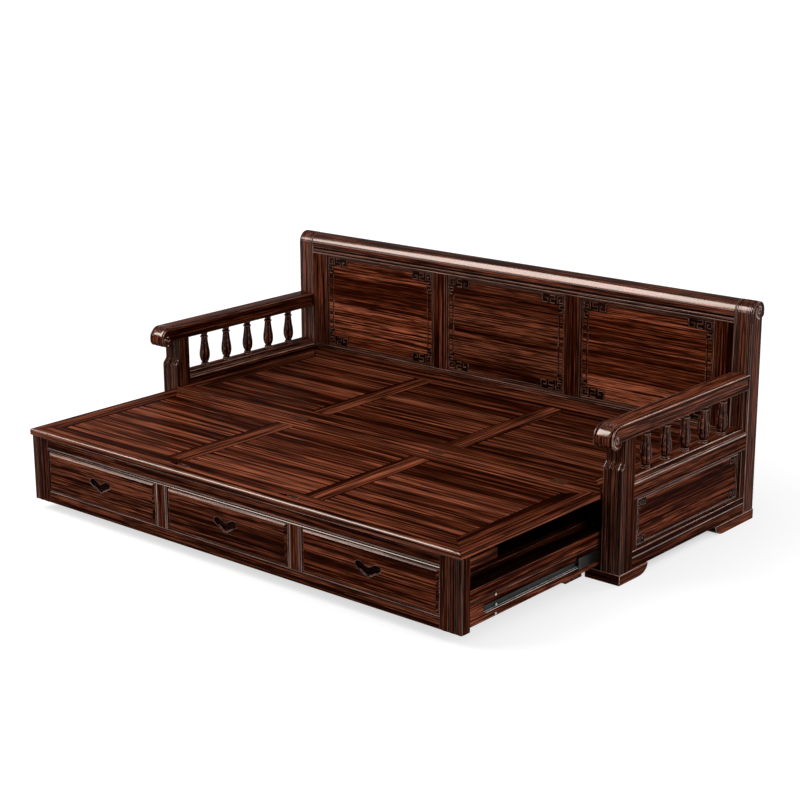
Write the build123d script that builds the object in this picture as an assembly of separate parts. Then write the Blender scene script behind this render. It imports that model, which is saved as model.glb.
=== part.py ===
"""Luohan daybed: a fixed seat with a back and two arms, and a drawer base that pulls out from
under it. A deck board hinged at the seam lies on the pulled-out base, or folds back onto the seat.

Millimetres, +X to the right of someone who faces the front, +Y to the back, +Z up. The origin is on
the floor, under the middle of the whole with the base pulled out, which is how everything is placed.
"""
import os

from build123d import *

# ------------------------------------------------------------------ overall sizes
arm_span = 2200.0           # across the outer faces of the two arms
fixed_depth = 875.0         # front of the arms to the back of the back posts
board_depth = 740.0         # seam to the front edge of the fold-over board
seat_height = 312.0         # floor to the top of the deck
arm_height = 558.0          # floor to the top of the handrails
back_height = 818.0         # floor to the top of the crest roll

# ------------------------------------------------------------------ clearances
slide_gap = 0.4             # between faces that slide past each other
seam_gap = 1.0              # board to fixed deck
board_side_gap = 2.0        # board to handrails as it folds over
drawer_gap = 1.5            # around each drawer front
knuckle_gap = 0.3           # between hinge knuckles
shaft_gap = 0.05            # radial, round a pin or an axle

# ------------------------------------------------------------------ framed panels
tongue_thick = 6.0
tongue_depth = 8.0
panel_thick = 14.0
panel_groove = 1.5          # open line round a panel, as wide as this

# ------------------------------------------------------------------ arms
arm_width = 77.0            # along X
arm_post_depth = 75.0       # along Y
foot_height = 37.0
foot_proud = 2.0            # feet stand out this far from the posts
front_foot_length = 173.0
rear_foot_length = 264.0
foot_wing = 60.0            # reach of a foot inwards, under the base
foot_sweep = 55.0           # length of the curve at a foot's free end
ogee_height = 30.0          # height of the curve in the arm post
ogee_drop = 133.0           # top of the handrail to the top of that curve
ogee_setback = 18.0         # how far the post steps back above it
handrail_thick = 56.0
handrail_overhang = 3.0     # past the arm's faces
scroll_reach = 63.0         # front of the scroll, ahead of the arm
scroll_drop = 77.0          # top of the handrail to the foot of the scroll
scroll_shoulder = 16.0      # where the top starts to curve, ahead of the arm
scroll_nose = 46.0          # top of the handrail to the scroll's foremost point
scroll_round = 20.0         # fullness of the curve above that point
scroll_eye = 36.0           # lowest point of the scroll, ahead of the arm
scroll_throat = 9.0         # where its underside ends, ahead of the arm
arm_rail_setback = 3.0      # rails lie this far behind the posts' outer faces
arm_rail_height = 66.0      # bottom rail
mid_rail_below_seat = 35.0
mid_rail_above_seat = 33.0
sill_height = 12.0          # raised sill that carries the balusters
sill_inset = 14.0
arm_stile = 33.0
arm_panel_setback = 8.0     # panel face behind the rails' face
lining_thick = 12.0         # board inside the arm that carries the slide

# ------------------------------------------------------------------ balusters, from the sill up
baluster_count = 5
baluster_ring = 16.5        # radii
baluster_belly = 20.0
baluster_neck = 11.0
baluster_head = 13.5
baluster_foot_height = 12.0  # from the sill
baluster_belly_height = 42.0
baluster_neck_drop = 30.0   # from the handrail
baluster_head_drop = 26.0

# ------------------------------------------------------------------ back
back_post_depth = 67.0
back_frame_thick = 55.0
back_end_stile = 80.0
back_muntin = 76.0
back_rail_above_seat = 29.0
back_rail_below_seat = 50.0
crest_height = 83.0         # bottom of the crest rail to the top of its roll
back_panel_setback = 8.0
roll_radius = 35.0
roll_overhang = 13.0        # roll past the back face of the posts
skirt_thick = 16.0
skirt_setback = 8.0
skirt_bottom = 100.0

# ------------------------------------------------------------------ decks
deck_thick = 25.0
deck_member = 92.0          # width of the rails round a deck
deck_muntin = 86.0
bay_x = 327.0               # centre of each muntin, in the decks and in the back
bearer_height = 42.0
bearer_width = 40.0
bearer_start = 95.0         # first bearer behind the seam
ledger_width = 20.0
pull_x = 261.0              # finger pulls in the board's front rail
pull_chord = 103.0
pull_sagitta = 20.0
pull_edge = 48.0            # chord behind the board's front edge

# ------------------------------------------------------------------ hinges at the seam
hinge_places = (-850.0, -327.0, 327.0, 850.0)
hinge_length = 60.0
leaf_width = 22.0
leaf_thick = 2.0
barrel_radius = 3.0
pin_radius = 1.5
hinge_rise = 1.0            # pin centre above the deck

# ------------------------------------------------------------------ pull-out base
base_setback = 7.0          # face behind the board's front edge
closed_setback = 2.0        # face behind the arms' front when pushed in
base_floor_gap = 40.0       # underside above the floor
base_side_gap = 6.0         # base posts to arms
base_post_width = 88.0
base_post_depth = 41.0
bottom_rail_height = 44.0
top_rail_height = 47.0      # below the deck
divider_width = 62.0
side_rail_thick = 44.0
side_rail_rise = 10.0       # its underside above the base's
side_rail_height = 121.0
side_rail_line = 79.0       # its underside to the line along it
groove_size = 4.0
rear_gap = 18.0             # pushed-in base to the skirt
rear_rail_thick = 22.0
guide_thick = 24.0
guide_rise = 7.0            # top above the side rails
guide_cover = 4.0           # guide hidden behind the front frame
ledge_width = 19.0
ledge_thick = 14.0
ledge_rise = 7.6            # above the bottom rail, so that a box clears it
bottom_board_thick = 5.0    # closes the base under each drawer
sleeper_over_foot = 2.0     # sleepers pass this far above the feet
sleeper_width = 92.0
front_sleeper_y = 133.0     # sleeper centres behind the base's face
rear_sleeper_y = 600.0
front_sleeper_inset = 110.0  # shorter than the side rails by this, each end

# ------------------------------------------------------------------ drawers
drawer_count = 3
drawer_front_thick = 22.0
drawer_front_proud = 2.0
drawer_wall = 12.0
drawer_box_depth = 300.0
drawer_box_height = 120.0
drawer_bottom_thick = 6.0
drawer_bottom_rise = 5.0
drawer_side_play = 1.0      # box to guide
ruyi_width = 111.0          # carved finger pull in each drawer front
ruyi_height = 51.0
ruyi_depth = 9.0
ruyi_lobe = 20.0

# ------------------------------------------------------------------ telescopic slides
slide_rise = 44.0           # centre line above the side rail's underside
slide_thick = 13.0          # side rail to arm
slide_sheet = 1.5
outer_height = 45.0
outer_length = 780.0
outer_setback = 50.0        # behind the arms' front
middle_length = 560.0
middle_reach = 122.0        # ahead of the arms' front
inner_setback = 116.0       # front end behind the base's face
inner_overlap = 83.0        # rear end behind the arms' front, pulled out
race_thick = 7.0            # rolled ball races along the middle member
screw_radius = 4.0
screw_head = 2.0
screw_setback = 177.0       # behind the base's face
upper_screw_gap = 1.5       # screw head to the slide's edge
lower_screw_gap = 9.0
middle_screw_drop = 4.0     # below the slide's centre line

# ------------------------------------------------------------------ rollers
roller_radius = 15.0
roller_width = 20.0
roller_x = 850.0
axle_radius = 3.0
bracket_sheet = 3.0
bracket_play = 1.0          # roller to bracket cheek, each side
bracket_skirt = 9.0         # cheek below the axle's centre

# ------------------------------------------------------------------ worked-out places
total_depth = board_depth + fixed_depth + roll_overhang
seam_y = board_depth - total_depth / 2
board_front = seam_y - board_depth
back_face = seam_y + fixed_depth
back_plane = back_face - back_post_depth
outer_x = arm_span / 2
inner_x = outer_x - arm_width
deck_under = seat_height - deck_thick
handrail_under = arm_height - handrail_thick
ogee_base = arm_height - ogee_drop - ogee_height
arm_rail_top = foot_height + arm_rail_height
mid_rail_bottom = seat_height - mid_rail_below_seat
mid_rail_top = seat_height + mid_rail_above_seat
back_rail_bottom = seat_height - back_rail_below_seat
back_rail_top = seat_height + back_rail_above_seat
crest_bottom = back_height - crest_height
bottom_rail_top = base_floor_gap + bottom_rail_height
top_rail_bottom = deck_under - top_rail_height
side_rail_bottom = base_floor_gap + side_rail_rise
side_rail_top = side_rail_bottom + side_rail_height
side_rail_groove = side_rail_bottom + side_rail_line
guide_top = side_rail_top + guide_rise
slide_height = side_rail_bottom + slide_rise
board_x = inner_x - handrail_overhang - board_side_gap
base_face = board_front + base_setback
base_travel = board_depth - base_setback + closed_setback
base_x = inner_x - base_side_gap
base_top = deck_under - slide_gap
side_rail_x = inner_x - slide_thick
skirt_front = back_face - skirt_setback - skirt_thick
base_rear = skirt_front - rear_gap - base_travel
hinge_height = seat_height + hinge_rise
opening_width = (2 * (base_x - base_post_width) - (drawer_count - 1) * divider_width) / drawer_count
drawer_pitch = opening_width + divider_width
drawer_centres = [(i - (drawer_count - 1) / 2) * drawer_pitch for i in range(drawer_count)]
divider_centres = [(a + b) / 2 for a, b in zip(drawer_centres, drawer_centres[1:])]
guide_inner = opening_width / 2 - guide_thick + guide_cover
box_half = guide_inner - drawer_side_play
ledge_top = bottom_rail_top + ledge_rise
box_floor = ledge_top + slide_gap
sleeper_bottom = foot_height + sleeper_over_foot

parts = {}


# ------------------------------------------------------------------ shared shapes
def block(x, y, z):
    """A box between three (low, high) pairs."""
    size = [high - low for low, high in (x, y, z)]
    centre = [(high + low) / 2 for low, high in (x, y, z)]
    return Pos(*centre) * Box(*size)


def along_x(outline, x):
    """Extrude a closed (Y, Z) outline between two X values."""
    return extrude(Plane.YZ.offset(x[0]) * make_face(outline), amount=x[1] - x[0])


def along_y(outline, y):
    """Extrude a closed (X, Z) outline between two Y values."""
    return extrude(Plane.XZ.offset(-y[0]) * make_face(outline), amount=y[0] - y[1])


def along_z(outline, z):
    """Extrude a closed (X, Y) outline between two Z values."""
    return extrude(Plane.XY.offset(z[0]) * make_face(outline), amount=z[1] - z[0])


def rod_x(radius, y, z, x):
    """A cylinder along X between two X values."""
    return Pos((x[0] + x[1]) / 2, y, z) * Rot(0, 90, 0) * Cylinder(radius, x[1] - x[0])


def both_sides(name, shape):
    """Keep a right-hand piece and its mirror image as two nodes."""
    parts[name + "_right"] = shape
    parts[name + "_left"] = mirror(shape, Plane.YZ)


def group(shapes):
    """Separate solids kept in one node."""
    return Compound(children=list(shapes))


def paired(*shapes):
    """Right-hand pieces and their mirror images in one node."""
    return group([*shapes, *(mirror(shape, Plane.YZ) for shape in shapes)])


def grown(span, amount):
    """A (low, high) pair made longer at both ends."""
    return (span[0] - amount, span[1] + amount)


def panel(u, v, w, plate, groove=panel_groove):
    """A floating panel and the tongue that its frame is grooved for.

    u and v are the opening, w the span through the plate; plate says which axis w is.
    """
    middle = (w[0] + w[1]) / 2
    core = (middle - tongue_thick / 2, middle + tongue_thick / 2)
    field_spans = [grown(u, -groove), grown(v, -groove)]
    tongue_spans = [grown(u, tongue_depth), grown(v, tongue_depth)]
    axis = "xyz".index(plate)
    field_spans.insert(axis, w)
    tongue_spans.insert(axis, core)
    tongue = block(*tongue_spans)
    return block(*field_spans) + tongue, tongue


# ------------------------------------------------------------------ arms
post_span = (seam_y, seam_y + arm_post_depth)
rail_span = (post_span[1], back_plane)
arm_face = outer_x - arm_rail_setback
frame_inner = inner_x + lining_thick


def foot_outline(start, length, sweep_end):
    """Side view of a foot: flat below, with a concave sweep at its free end."""
    end = start + length * sweep_end
    bend = end - foot_sweep * sweep_end
    return [
        Line((start, 0), (bend, 0)),
        Bezier((bend, 0), (bend + foot_sweep / 2 * sweep_end, 0), (end, foot_height / 3), (end, foot_height)),
        Line((end, foot_height), (start, foot_height)),
        Line((start, foot_height), (start, 0)),
    ]


def foot(start, length, sweep_end):
    return along_x(foot_outline(start, length, sweep_end), (inner_x - foot_wing, outer_x + foot_proud))


def arm_post():
    step = seam_y + ogee_setback
    top = ogee_base + ogee_height
    middle = ogee_base + ogee_height / 2
    outline = [
        Line((post_span[1], foot_height), (seam_y, foot_height)),
        Line((seam_y, foot_height), (seam_y, ogee_base)),
        Bezier((seam_y, ogee_base), (seam_y, middle), (step, middle), (step, top)),
        Line((step, top), (step, handrail_under)),
        Line((step, handrail_under), (post_span[1], handrail_under)),
        Line((post_span[1], handrail_under), (post_span[1], foot_height)),
    ]
    return along_x(outline, (inner_x, outer_x))


def handrail():
    """Flat rail whose front end rolls forwards and down into a scroll."""
    front = seam_y - scroll_reach
    shoulder = seam_y - scroll_shoulder
    eye = seam_y - scroll_eye
    throat = seam_y - scroll_throat
    nose_z = arm_height - scroll_nose
    foot_z = arm_height - scroll_drop
    outline = [
        Line((back_plane, arm_height), (shoulder, arm_height)),
        Bezier((shoulder, arm_height), (front, arm_height), (front, nose_z + scroll_round), (front, nose_z)),
        Bezier((front, nose_z), (front, foot_z), (eye, foot_z), (eye, foot_z)),
        Bezier((eye, foot_z), (throat, foot_z), (throat, handrail_under), (throat, handrail_under)),
        Line((throat, handrail_under), (back_plane, handrail_under)),
        Line((back_plane, handrail_under), (back_plane, arm_height)),
    ]
    return along_x(outline, (inner_x - handrail_overhang, outer_x + handrail_overhang))


def baluster(y):
    """One turned vase baluster, from a profile of radius and height."""
    sill = mid_rail_top + sill_height
    foot_top = sill + baluster_foot_height
    neck = handrail_under - baluster_neck_drop
    head = handrail_under - baluster_head_drop
    outline = [
        Line((0, sill), (baluster_ring, sill)),
        Line((baluster_ring, sill), (baluster_ring, foot_top)),
        Line((baluster_ring, foot_top), (baluster_neck, foot_top)),
        Spline(
            (baluster_neck, foot_top),
            (baluster_belly, sill + baluster_belly_height),
            (baluster_neck, neck),
        ),
        Line((baluster_neck, neck), (baluster_neck, head)),
        Line((baluster_neck, head), (baluster_head, head)),
        Line((baluster_head, head), (baluster_head, handrail_under)),
        Line((baluster_head, handrail_under), (0, handrail_under)),
        Line((0, handrail_under), (0, sill)),
    ]
    turned = revolve(Plane.XZ * make_face(outline), Axis.Z)
    return Pos((inner_x + outer_x) / 2, y, 0) * turned


panel_y = (rail_span[0] + arm_stile, rail_span[1] - arm_stile)
panel_z = (arm_rail_top, mid_rail_bottom)
panel_x = (arm_face - arm_panel_setback - panel_thick, arm_face - arm_panel_setback)
arm_panel, arm_tongue = panel(panel_y, panel_z, panel_x, "x")
sill_span = (inner_x + sill_inset, outer_x - sill_inset)
mid_rail = block((inner_x, arm_face), rail_span, (mid_rail_bottom, mid_rail_top))
mid_rail += block(sill_span, rail_span, (mid_rail_top, mid_rail_top + sill_height))
front_stile = block((frame_inner, arm_face), (rail_span[0], panel_y[0]), panel_z)
rear_stile = block((frame_inner, arm_face), (panel_y[1], rail_span[1]), panel_z)
bottom_rail = block((frame_inner, arm_face), rail_span, (foot_height, arm_rail_top))
lining = block((inner_x, frame_inner), rail_span, (foot_height, mid_rail_bottom))
baluster_pitch = (rail_span[1] - rail_span[0]) / (baluster_count + 1)
baluster_places = [rail_span[0] + baluster_pitch * (i + 1) for i in range(baluster_count)]

parts["feet"] = paired(
    foot(seam_y - foot_proud, front_foot_length, 1), foot(back_face + foot_proud, rear_foot_length, -1)
)
both_sides("arm_post", arm_post())
both_sides("handrail", handrail())
both_sides("arm_mid_rail", mid_rail - arm_tongue)
parts["arm_bottom_rails"] = paired(bottom_rail - arm_tongue)
parts["arm_stiles"] = paired(front_stile - arm_tongue, rear_stile - arm_tongue)
parts["arm_panels"] = paired(arm_panel)
parts["arm_linings"] = paired(lining)
both_sides("balusters", group(baluster(y) for y in baluster_places))

# ------------------------------------------------------------------ back
roll_y = back_face + roll_overhang - roll_radius
roll_z = back_height - roll_radius
back_frame = (back_plane, back_plane + back_frame_thick)
stile_x = inner_x - back_end_stile
back_bays = [
    (-stile_x, -bay_x - back_muntin / 2),
    (-bay_x + back_muntin / 2, bay_x - back_muntin / 2),
    (bay_x + back_muntin / 2, stile_x),
]
back_post = block((inner_x, outer_x), (back_plane, back_face), (foot_height, roll_z))
back_post += rod_x(roll_radius, roll_y, roll_z, (inner_x, outer_x))
crest = block((-inner_x, inner_x), back_frame, (crest_bottom, roll_z))
crest += rod_x(roll_radius, roll_y, roll_z, (-inner_x, inner_x))
back_rail = block((-inner_x, inner_x), back_frame, (back_rail_bottom, back_rail_top))
back_panel_y = (back_plane + back_panel_setback, back_plane + back_panel_setback + panel_thick)
back_panel_z = (back_rail_top, crest_bottom)
end_stile = block((stile_x, inner_x), back_frame, back_panel_z)
back_muntin_bar = block((back_bays[1][1], back_bays[2][0]), back_frame, back_panel_z)

for place, bay in zip(("left", "centre", "right"), back_bays):
    board, tongue = panel(bay, back_panel_z, back_panel_y, "y")
    parts["back_panel_" + place] = board
    crest -= tongue
    back_rail -= tongue
    if place != "left":
        end_stile -= tongue
        back_muntin_bar -= tongue

parts["crest_rail"] = crest
parts["back_rail"] = back_rail
both_sides("back_post", back_post)
parts["back_stiles"] = paired(end_stile)
parts["back_muntins"] = paired(back_muntin_bar)
parts["rear_skirt"] = block(
    (-inner_x, inner_x), (skirt_front, skirt_front + skirt_thick), (skirt_bottom, back_rail_bottom)
)

# ------------------------------------------------------------------ hinges

def knuckle(x):
    """One knuckle of a barrel, bored for its pin."""
    bore = rod_x(pin_radius + shaft_gap, seam_y, hinge_height, x)
    return rod_x(barrel_radius, seam_y, hinge_height, x) - bore


def leaf(x, side):
    """A leaf let into the deck, with its share of the three knuckles: side 1 is fixed, -1 on the board."""
    ends = (x - hinge_length / 2, x + hinge_length / 2)
    near, far = seam_y + side * seam_gap, seam_y + side * leaf_width
    plate = block(ends, (min(near, far), max(near, far)), (seat_height - leaf_thick, seat_height))
    third = hinge_length / 3
    middle = (x - third / 2, x + third / 2)
    outer = [(ends[0], middle[0]), (middle[1], ends[1])]
    mine = outer if side > 0 else [grown(middle, -knuckle_gap)]
    other = [grown(middle, knuckle_gap)] if side > 0 else [grown(span, knuckle_gap) for span in outer]
    for span in mine:
        plate += knuckle(span)
    plate -= rod_x(pin_radius + shaft_gap, seam_y, hinge_height, ends)
    for span in other:
        plate -= rod_x(barrel_radius + knuckle_gap, seam_y, hinge_height, span)
    return plate


def hinge_seat(x):
    """What both decks lose for one hinge: the leaf pockets and room for the barrel."""
    ends = grown((x - hinge_length / 2, x + hinge_length / 2), knuckle_gap)
    pocket = block(ends, (seam_y - leaf_width, seam_y + leaf_width), (seat_height - leaf_thick, seat_height))
    return pocket + rod_x(barrel_radius + knuckle_gap, seam_y, hinge_height, ends)


def hinge_pin(x):
    return rod_x(pin_radius, seam_y, hinge_height, (x - hinge_length / 2, x + hinge_length / 2))


parts["hinge_leaves_fixed"] = group(leaf(x, 1) for x in hinge_places)
parts["hinge_leaves_board"] = group(leaf(x, -1) for x in hinge_places)
parts["hinge_pins"] = group(hinge_pin(x) for x in hinge_places)


# ------------------------------------------------------------------ decks
def finger_pull(x):
    """Half-moon cut, straight at the front and round at the back."""
    y = board_front + pull_edge
    ends = (x - pull_chord / 2, x + pull_chord / 2)
    outline = [
        ThreePointArc((ends[0], y), (x, y + pull_sagitta), (ends[1], y)),
        Line((ends[1], y), (ends[0], y)),
    ]
    return along_z(outline, (deck_under, seat_height))


def deck(prefix, half, front, rear, cuts):
    """A mitred frame with two muntins and three floating panels, flush on top."""
    z = (deck_under, seat_height)
    mitre = half - deck_member
    near, far = front + deck_member, rear - deck_member
    front_corners = [(-half, front), (half, front), (mitre, near), (-mitre, near)]
    rear_corners = [(-half, rear), (-mitre, far), (mitre, far), (half, rear)]
    end_corners = [(half, front), (half, rear), (mitre, far), (mitre, near)]
    front_rail = along_z(Polyline(*front_corners, close=True), z)
    rear_rail = along_z(Polyline(*rear_corners, close=True), z)
    end_rail = along_z(Polyline(*end_corners, close=True), z)
    muntin = block((bay_x - deck_muntin / 2, bay_x + deck_muntin / 2), (near, far), z)
    bays = [
        (-mitre, -bay_x - deck_muntin / 2),
        (-bay_x + deck_muntin / 2, bay_x - deck_muntin / 2),
        (bay_x + deck_muntin / 2, mitre),
    ]
    boards = []
    for bay in bays:
        board, tongue = panel(bay, (near, far), (seat_height - panel_thick, seat_height), "z")
        boards.append(board)
        front_rail -= tongue
        rear_rail -= tongue
        end_rail -= tongue
        muntin -= tongue
    for cut in cuts:
        front_rail -= cut
        rear_rail -= cut
    parts[prefix + "_front_rail"] = front_rail
    parts[prefix + "_rear_rail"] = rear_rail
    parts[prefix + "_end_rails"] = paired(end_rail)
    parts[prefix + "_muntins"] = paired(muntin)
    parts[prefix + "_panels"] = group(boards)


seats = [hinge_seat(x) for x in hinge_places]
pulls = [finger_pull(-pull_x), finger_pull(pull_x)]
deck("seat", inner_x, seam_y + seam_gap / 2, back_plane, seats)
deck("board", board_x, board_front, seam_y - seam_gap / 2, seats + pulls)

# ------------------------------------------------------------------ what carries the seat
bearer_z = (deck_under - bearer_height, deck_under)
first_bearer = (seam_y + bearer_start, seam_y + bearer_start + bearer_width)
last_bearer = (back_plane - bearer_width, back_plane)
joist = block(
    (bay_x - bearer_width / 2, bay_x + bearer_width / 2), (first_bearer[1], last_bearer[0]), bearer_z
)
cross_x = (ledger_width - inner_x, inner_x - ledger_width)
crossings = [block(cross_x, y, bearer_z) for y in (first_bearer, last_bearer)]
ledger = block((inner_x - ledger_width, inner_x), (first_bearer[0], last_bearer[1]), bearer_z)
parts["seat_bearers"] = group([*crossings, paired(joist, ledger)])

# ------------------------------------------------------------------ pull-out base
frame_y = (base_face, base_face + base_post_depth)
behind_y = (frame_y[1], base_rear - rear_rail_thick)
post_x = (base_x - base_post_width, base_x)
rail_x = (-post_x[0], post_x[0])
parts["base_posts"] = paired(block(post_x, frame_y, (base_floor_gap, base_top)))
parts["base_top_rail"] = block(rail_x, frame_y, (top_rail_bottom, base_top))
parts["base_bottom_rail"] = block(rail_x, frame_y, (base_floor_gap, bottom_rail_top))
parts["base_dividers"] = group(
    block((x - divider_width / 2, x + divider_width / 2), frame_y, (bottom_rail_top, top_rail_bottom))
    for x in divider_centres
)


def side_rail():
    """Low board at each side, with a line along its outer face."""
    inner = side_rail_x - side_rail_thick
    outline = Polyline(
        (inner, side_rail_bottom),
        (side_rail_x, side_rail_bottom),
        (side_rail_x, side_rail_groove - groove_size / 2),
        (side_rail_x - groove_size, side_rail_groove),
        (side_rail_x, side_rail_groove + groove_size / 2),
        (side_rail_x, side_rail_top),
        (inner, side_rail_top),
        close=True,
    )
    return along_y(outline, (frame_y[1], base_rear))


def guide(x, side):
    """Upright guide board with the ledge that one side of a drawer runs on."""
    near, far = x + side * guide_inner, x + side * (guide_inner + guide_thick)
    edge = x + side * (guide_inner - ledge_width)
    upright = block((min(near, far), max(near, far)), behind_y, (side_rail_bottom, guide_top))
    ledge = block((min(near, edge), max(near, edge)), behind_y, (ledge_top - ledge_thick, ledge_top))
    return upright + ledge


def sleeper(y, half):
    """Flat cross board under the guides and side rails, which the rollers hang from."""
    centre = base_face + y
    span = (centre - sleeper_width / 2, centre + sleeper_width / 2)
    return block((-half, half), span, (sleeper_bottom, side_rail_bottom))


parts["base_side_rails"] = paired(side_rail())
inside_x = side_rail_x - side_rail_thick
parts["base_rear_rail"] = block(
    (-inside_x, inside_x), (base_rear - rear_rail_thick, base_rear), (side_rail_bottom, side_rail_top)
)
parts["drawer_guides"] = group(guide(x, side) for x in drawer_centres for side in (-1, 1))
parts["base_bottom_boards"] = group(
    block((x - guide_inner, x + guide_inner), behind_y, (side_rail_bottom, side_rail_bottom + bottom_board_thick))
    for x in drawer_centres
)
parts["base_sleepers"] = group(
    [sleeper(front_sleeper_y, side_rail_x - front_sleeper_inset), sleeper(rear_sleeper_y, side_rail_x)]
)

# ------------------------------------------------------------------ drawers
def ruyi_pull(x, face):
    """Carved finger pull: two lobes above, one point below."""
    middle = (bottom_rail_top + top_rail_bottom) / 2
    lobe_x = ruyi_width / 2 - ruyi_lobe
    lobe_z = middle + ruyi_height / 2 - ruyi_lobe
    depth = (face, face + ruyi_depth)
    body = Polyline(
        (x - ruyi_width / 2, lobe_z), (x + ruyi_width / 2, lobe_z), (x, middle - ruyi_height / 2), close=True
    )
    cut = along_y(body, depth)
    for side in (-1, 1):
        lobe = Pos(x + side * lobe_x, face + ruyi_depth / 2, lobe_z) * Rot(90, 0, 0)
        cut += lobe * Cylinder(ruyi_lobe, ruyi_depth)
    return cut


def drawer(place, x):
    """Inset front with a carved pull, two sides, a back and a bottom."""
    face = base_face - drawer_front_proud
    front_x = (x - opening_width / 2 + drawer_gap, x + opening_width / 2 - drawer_gap)
    front_z = (bottom_rail_top + drawer_gap, top_rail_bottom - drawer_gap)
    y = (face + drawer_front_thick, face + drawer_front_thick + drawer_box_depth)
    z = (box_floor, box_floor + drawer_box_height)
    outer, inner = box_half, box_half - drawer_wall
    floor = (z[0] + drawer_bottom_rise, z[0] + drawer_bottom_rise + drawer_bottom_thick)
    front = block(front_x, (face, y[0]), front_z) - ruyi_pull(x, face)
    sides = [block((x - outer, x - inner), y, z), block((x + inner, x + outer), y, z)]
    back = block((x - inner, x + inner), (y[1] - drawer_wall, y[1]), z)
    bottom = block((x - inner, x + inner), (y[0], y[1] - drawer_wall), floor)
    parts["drawer_front_" + place] = front
    parts["drawer_box_" + place] = group([*sides, back, bottom])


for place, x in zip(("left", "centre", "right"), drawer_centres):
    drawer(place, x)


# ------------------------------------------------------------------ telescopic slides
def channel(web, lip, half_height, y, flange=slide_sheet):
    """Rolled channel along Y, from the back of its web to the ends of its lips."""
    z = (slide_height - half_height, slide_height + half_height)
    body = block((min(web, lip), max(web, lip)), y, z)
    bed = web + slide_sheet * (1 if lip > web else -1)
    return body - block((min(bed, lip), max(bed, lip)), y, grown(z, -flange))


outer_half = outer_height / 2
middle_half = outer_half - slide_sheet - slide_gap
inner_half = middle_half - race_thick - slide_gap
middle_web = inner_x - slide_sheet - slide_gap
inner_lip = middle_web - slide_sheet - slide_gap
outer_y = (seam_y + outer_setback, seam_y + outer_setback + outer_length)
middle_y = (seam_y - middle_reach, seam_y - middle_reach + middle_length)
inner_y = (base_face + inner_setback, seam_y + inner_overlap)

outer_lip = side_rail_x + slide_gap

parts["slides_outer"] = paired(channel(inner_x, outer_lip, outer_half, outer_y))
parts["slides_middle"] = paired(channel(middle_web, outer_lip, middle_half, middle_y, race_thick))
parts["slides_inner"] = paired(channel(side_rail_x, inner_lip, inner_half, inner_y))


def screw(z, x):
    return rod_x(screw_radius, base_face + screw_setback, z, (x, x + screw_head))


clear_of_slide = outer_half + screw_radius
parts["rail_screws"] = paired(
    screw(slide_height + clear_of_slide + upper_screw_gap, side_rail_x),
    screw(slide_height - middle_screw_drop, side_rail_x + slide_sheet),
    screw(slide_height - clear_of_slide - lower_screw_gap, side_rail_x),
)


# ------------------------------------------------------------------ rollers
def roller(x, y):
    span = (x - roller_width / 2, x + roller_width / 2)
    wheel = rod_x(roller_radius, y, roller_radius, span)
    return wheel - rod_x(axle_radius + shaft_gap, y, roller_radius, span)


def bracket(x, y):
    """Pressed saddle: a plate against the sleeper and a cheek each side of the roller."""
    half = roller_width / 2 + bracket_play
    depth = (y - roller_radius, y + roller_radius)
    low = roller_radius - bracket_skirt
    saddle = block((x - half - bracket_sheet, x + half + bracket_sheet), depth, (low, sleeper_bottom))
    saddle -= block((x - half, x + half), depth, (low, sleeper_bottom - bracket_sheet))
    return saddle - axle(x, y)


def axle(x, y):
    half = roller_width / 2 + bracket_play + bracket_sheet
    return rod_x(axle_radius, y, roller_radius, (x - half, x + half))


roller_rows = {"front": base_face + front_sleeper_y, "rear": base_face + rear_sleeper_y}
for row, y in roller_rows.items():
    parts["rollers_" + row] = paired(roller(roller_x, y))
parts["roller_brackets"] = paired(*(bracket(roller_x, y) for y in roller_rows.values()))
parts["roller_axles"] = paired(*(axle(roller_x, y) for y in roller_rows.values()))

# ------------------------------------------------------------------ files
os.makedirs("parts", exist_ok=True)
for name, shape in parts.items():
    export_step(shape, "parts/" + name + ".step")
print(len(parts), "nodes, base travel", base_travel, "mm")
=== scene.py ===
from math import atan2, cos, pi, radians, sin

import bmesh
import bpy
from mathutils import Matrix, Vector


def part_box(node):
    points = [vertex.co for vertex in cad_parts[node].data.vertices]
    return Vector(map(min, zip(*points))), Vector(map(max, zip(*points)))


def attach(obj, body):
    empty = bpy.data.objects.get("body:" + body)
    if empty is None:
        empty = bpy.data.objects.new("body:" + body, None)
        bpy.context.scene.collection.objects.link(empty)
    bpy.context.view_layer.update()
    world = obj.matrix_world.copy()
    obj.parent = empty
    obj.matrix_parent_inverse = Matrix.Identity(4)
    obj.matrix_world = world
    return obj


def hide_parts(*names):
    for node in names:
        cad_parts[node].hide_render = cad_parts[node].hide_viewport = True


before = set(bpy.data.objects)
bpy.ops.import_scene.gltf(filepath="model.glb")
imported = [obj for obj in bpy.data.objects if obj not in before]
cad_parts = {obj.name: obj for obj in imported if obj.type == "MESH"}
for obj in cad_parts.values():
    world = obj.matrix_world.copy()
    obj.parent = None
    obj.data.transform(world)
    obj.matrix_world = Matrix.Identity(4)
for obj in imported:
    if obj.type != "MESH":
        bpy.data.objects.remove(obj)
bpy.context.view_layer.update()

# ---------------------------------------------------------------- feet
# Four solid blocks of striped rosewood under the ends of the arms, long along the depth and reaching
# in under the base. Each free end is sawn to a concave sweep and the arrises are rounded by hand.
MM = 0.001


def add_node(tree, kind, links=None, values=None, **settings):
    """One shader node with its settings, its sockets' values and what feeds them."""
    made = tree.nodes.new("ShaderNode" + kind)
    for key, value in settings.items():
        setattr(made, key, value)
    for socket, value in (values or {}).items():
        made.inputs[socket].default_value = value
    for socket, source in (links or {}).items():
        tree.links.new(source, made.inputs[socket])
    return made


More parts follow.
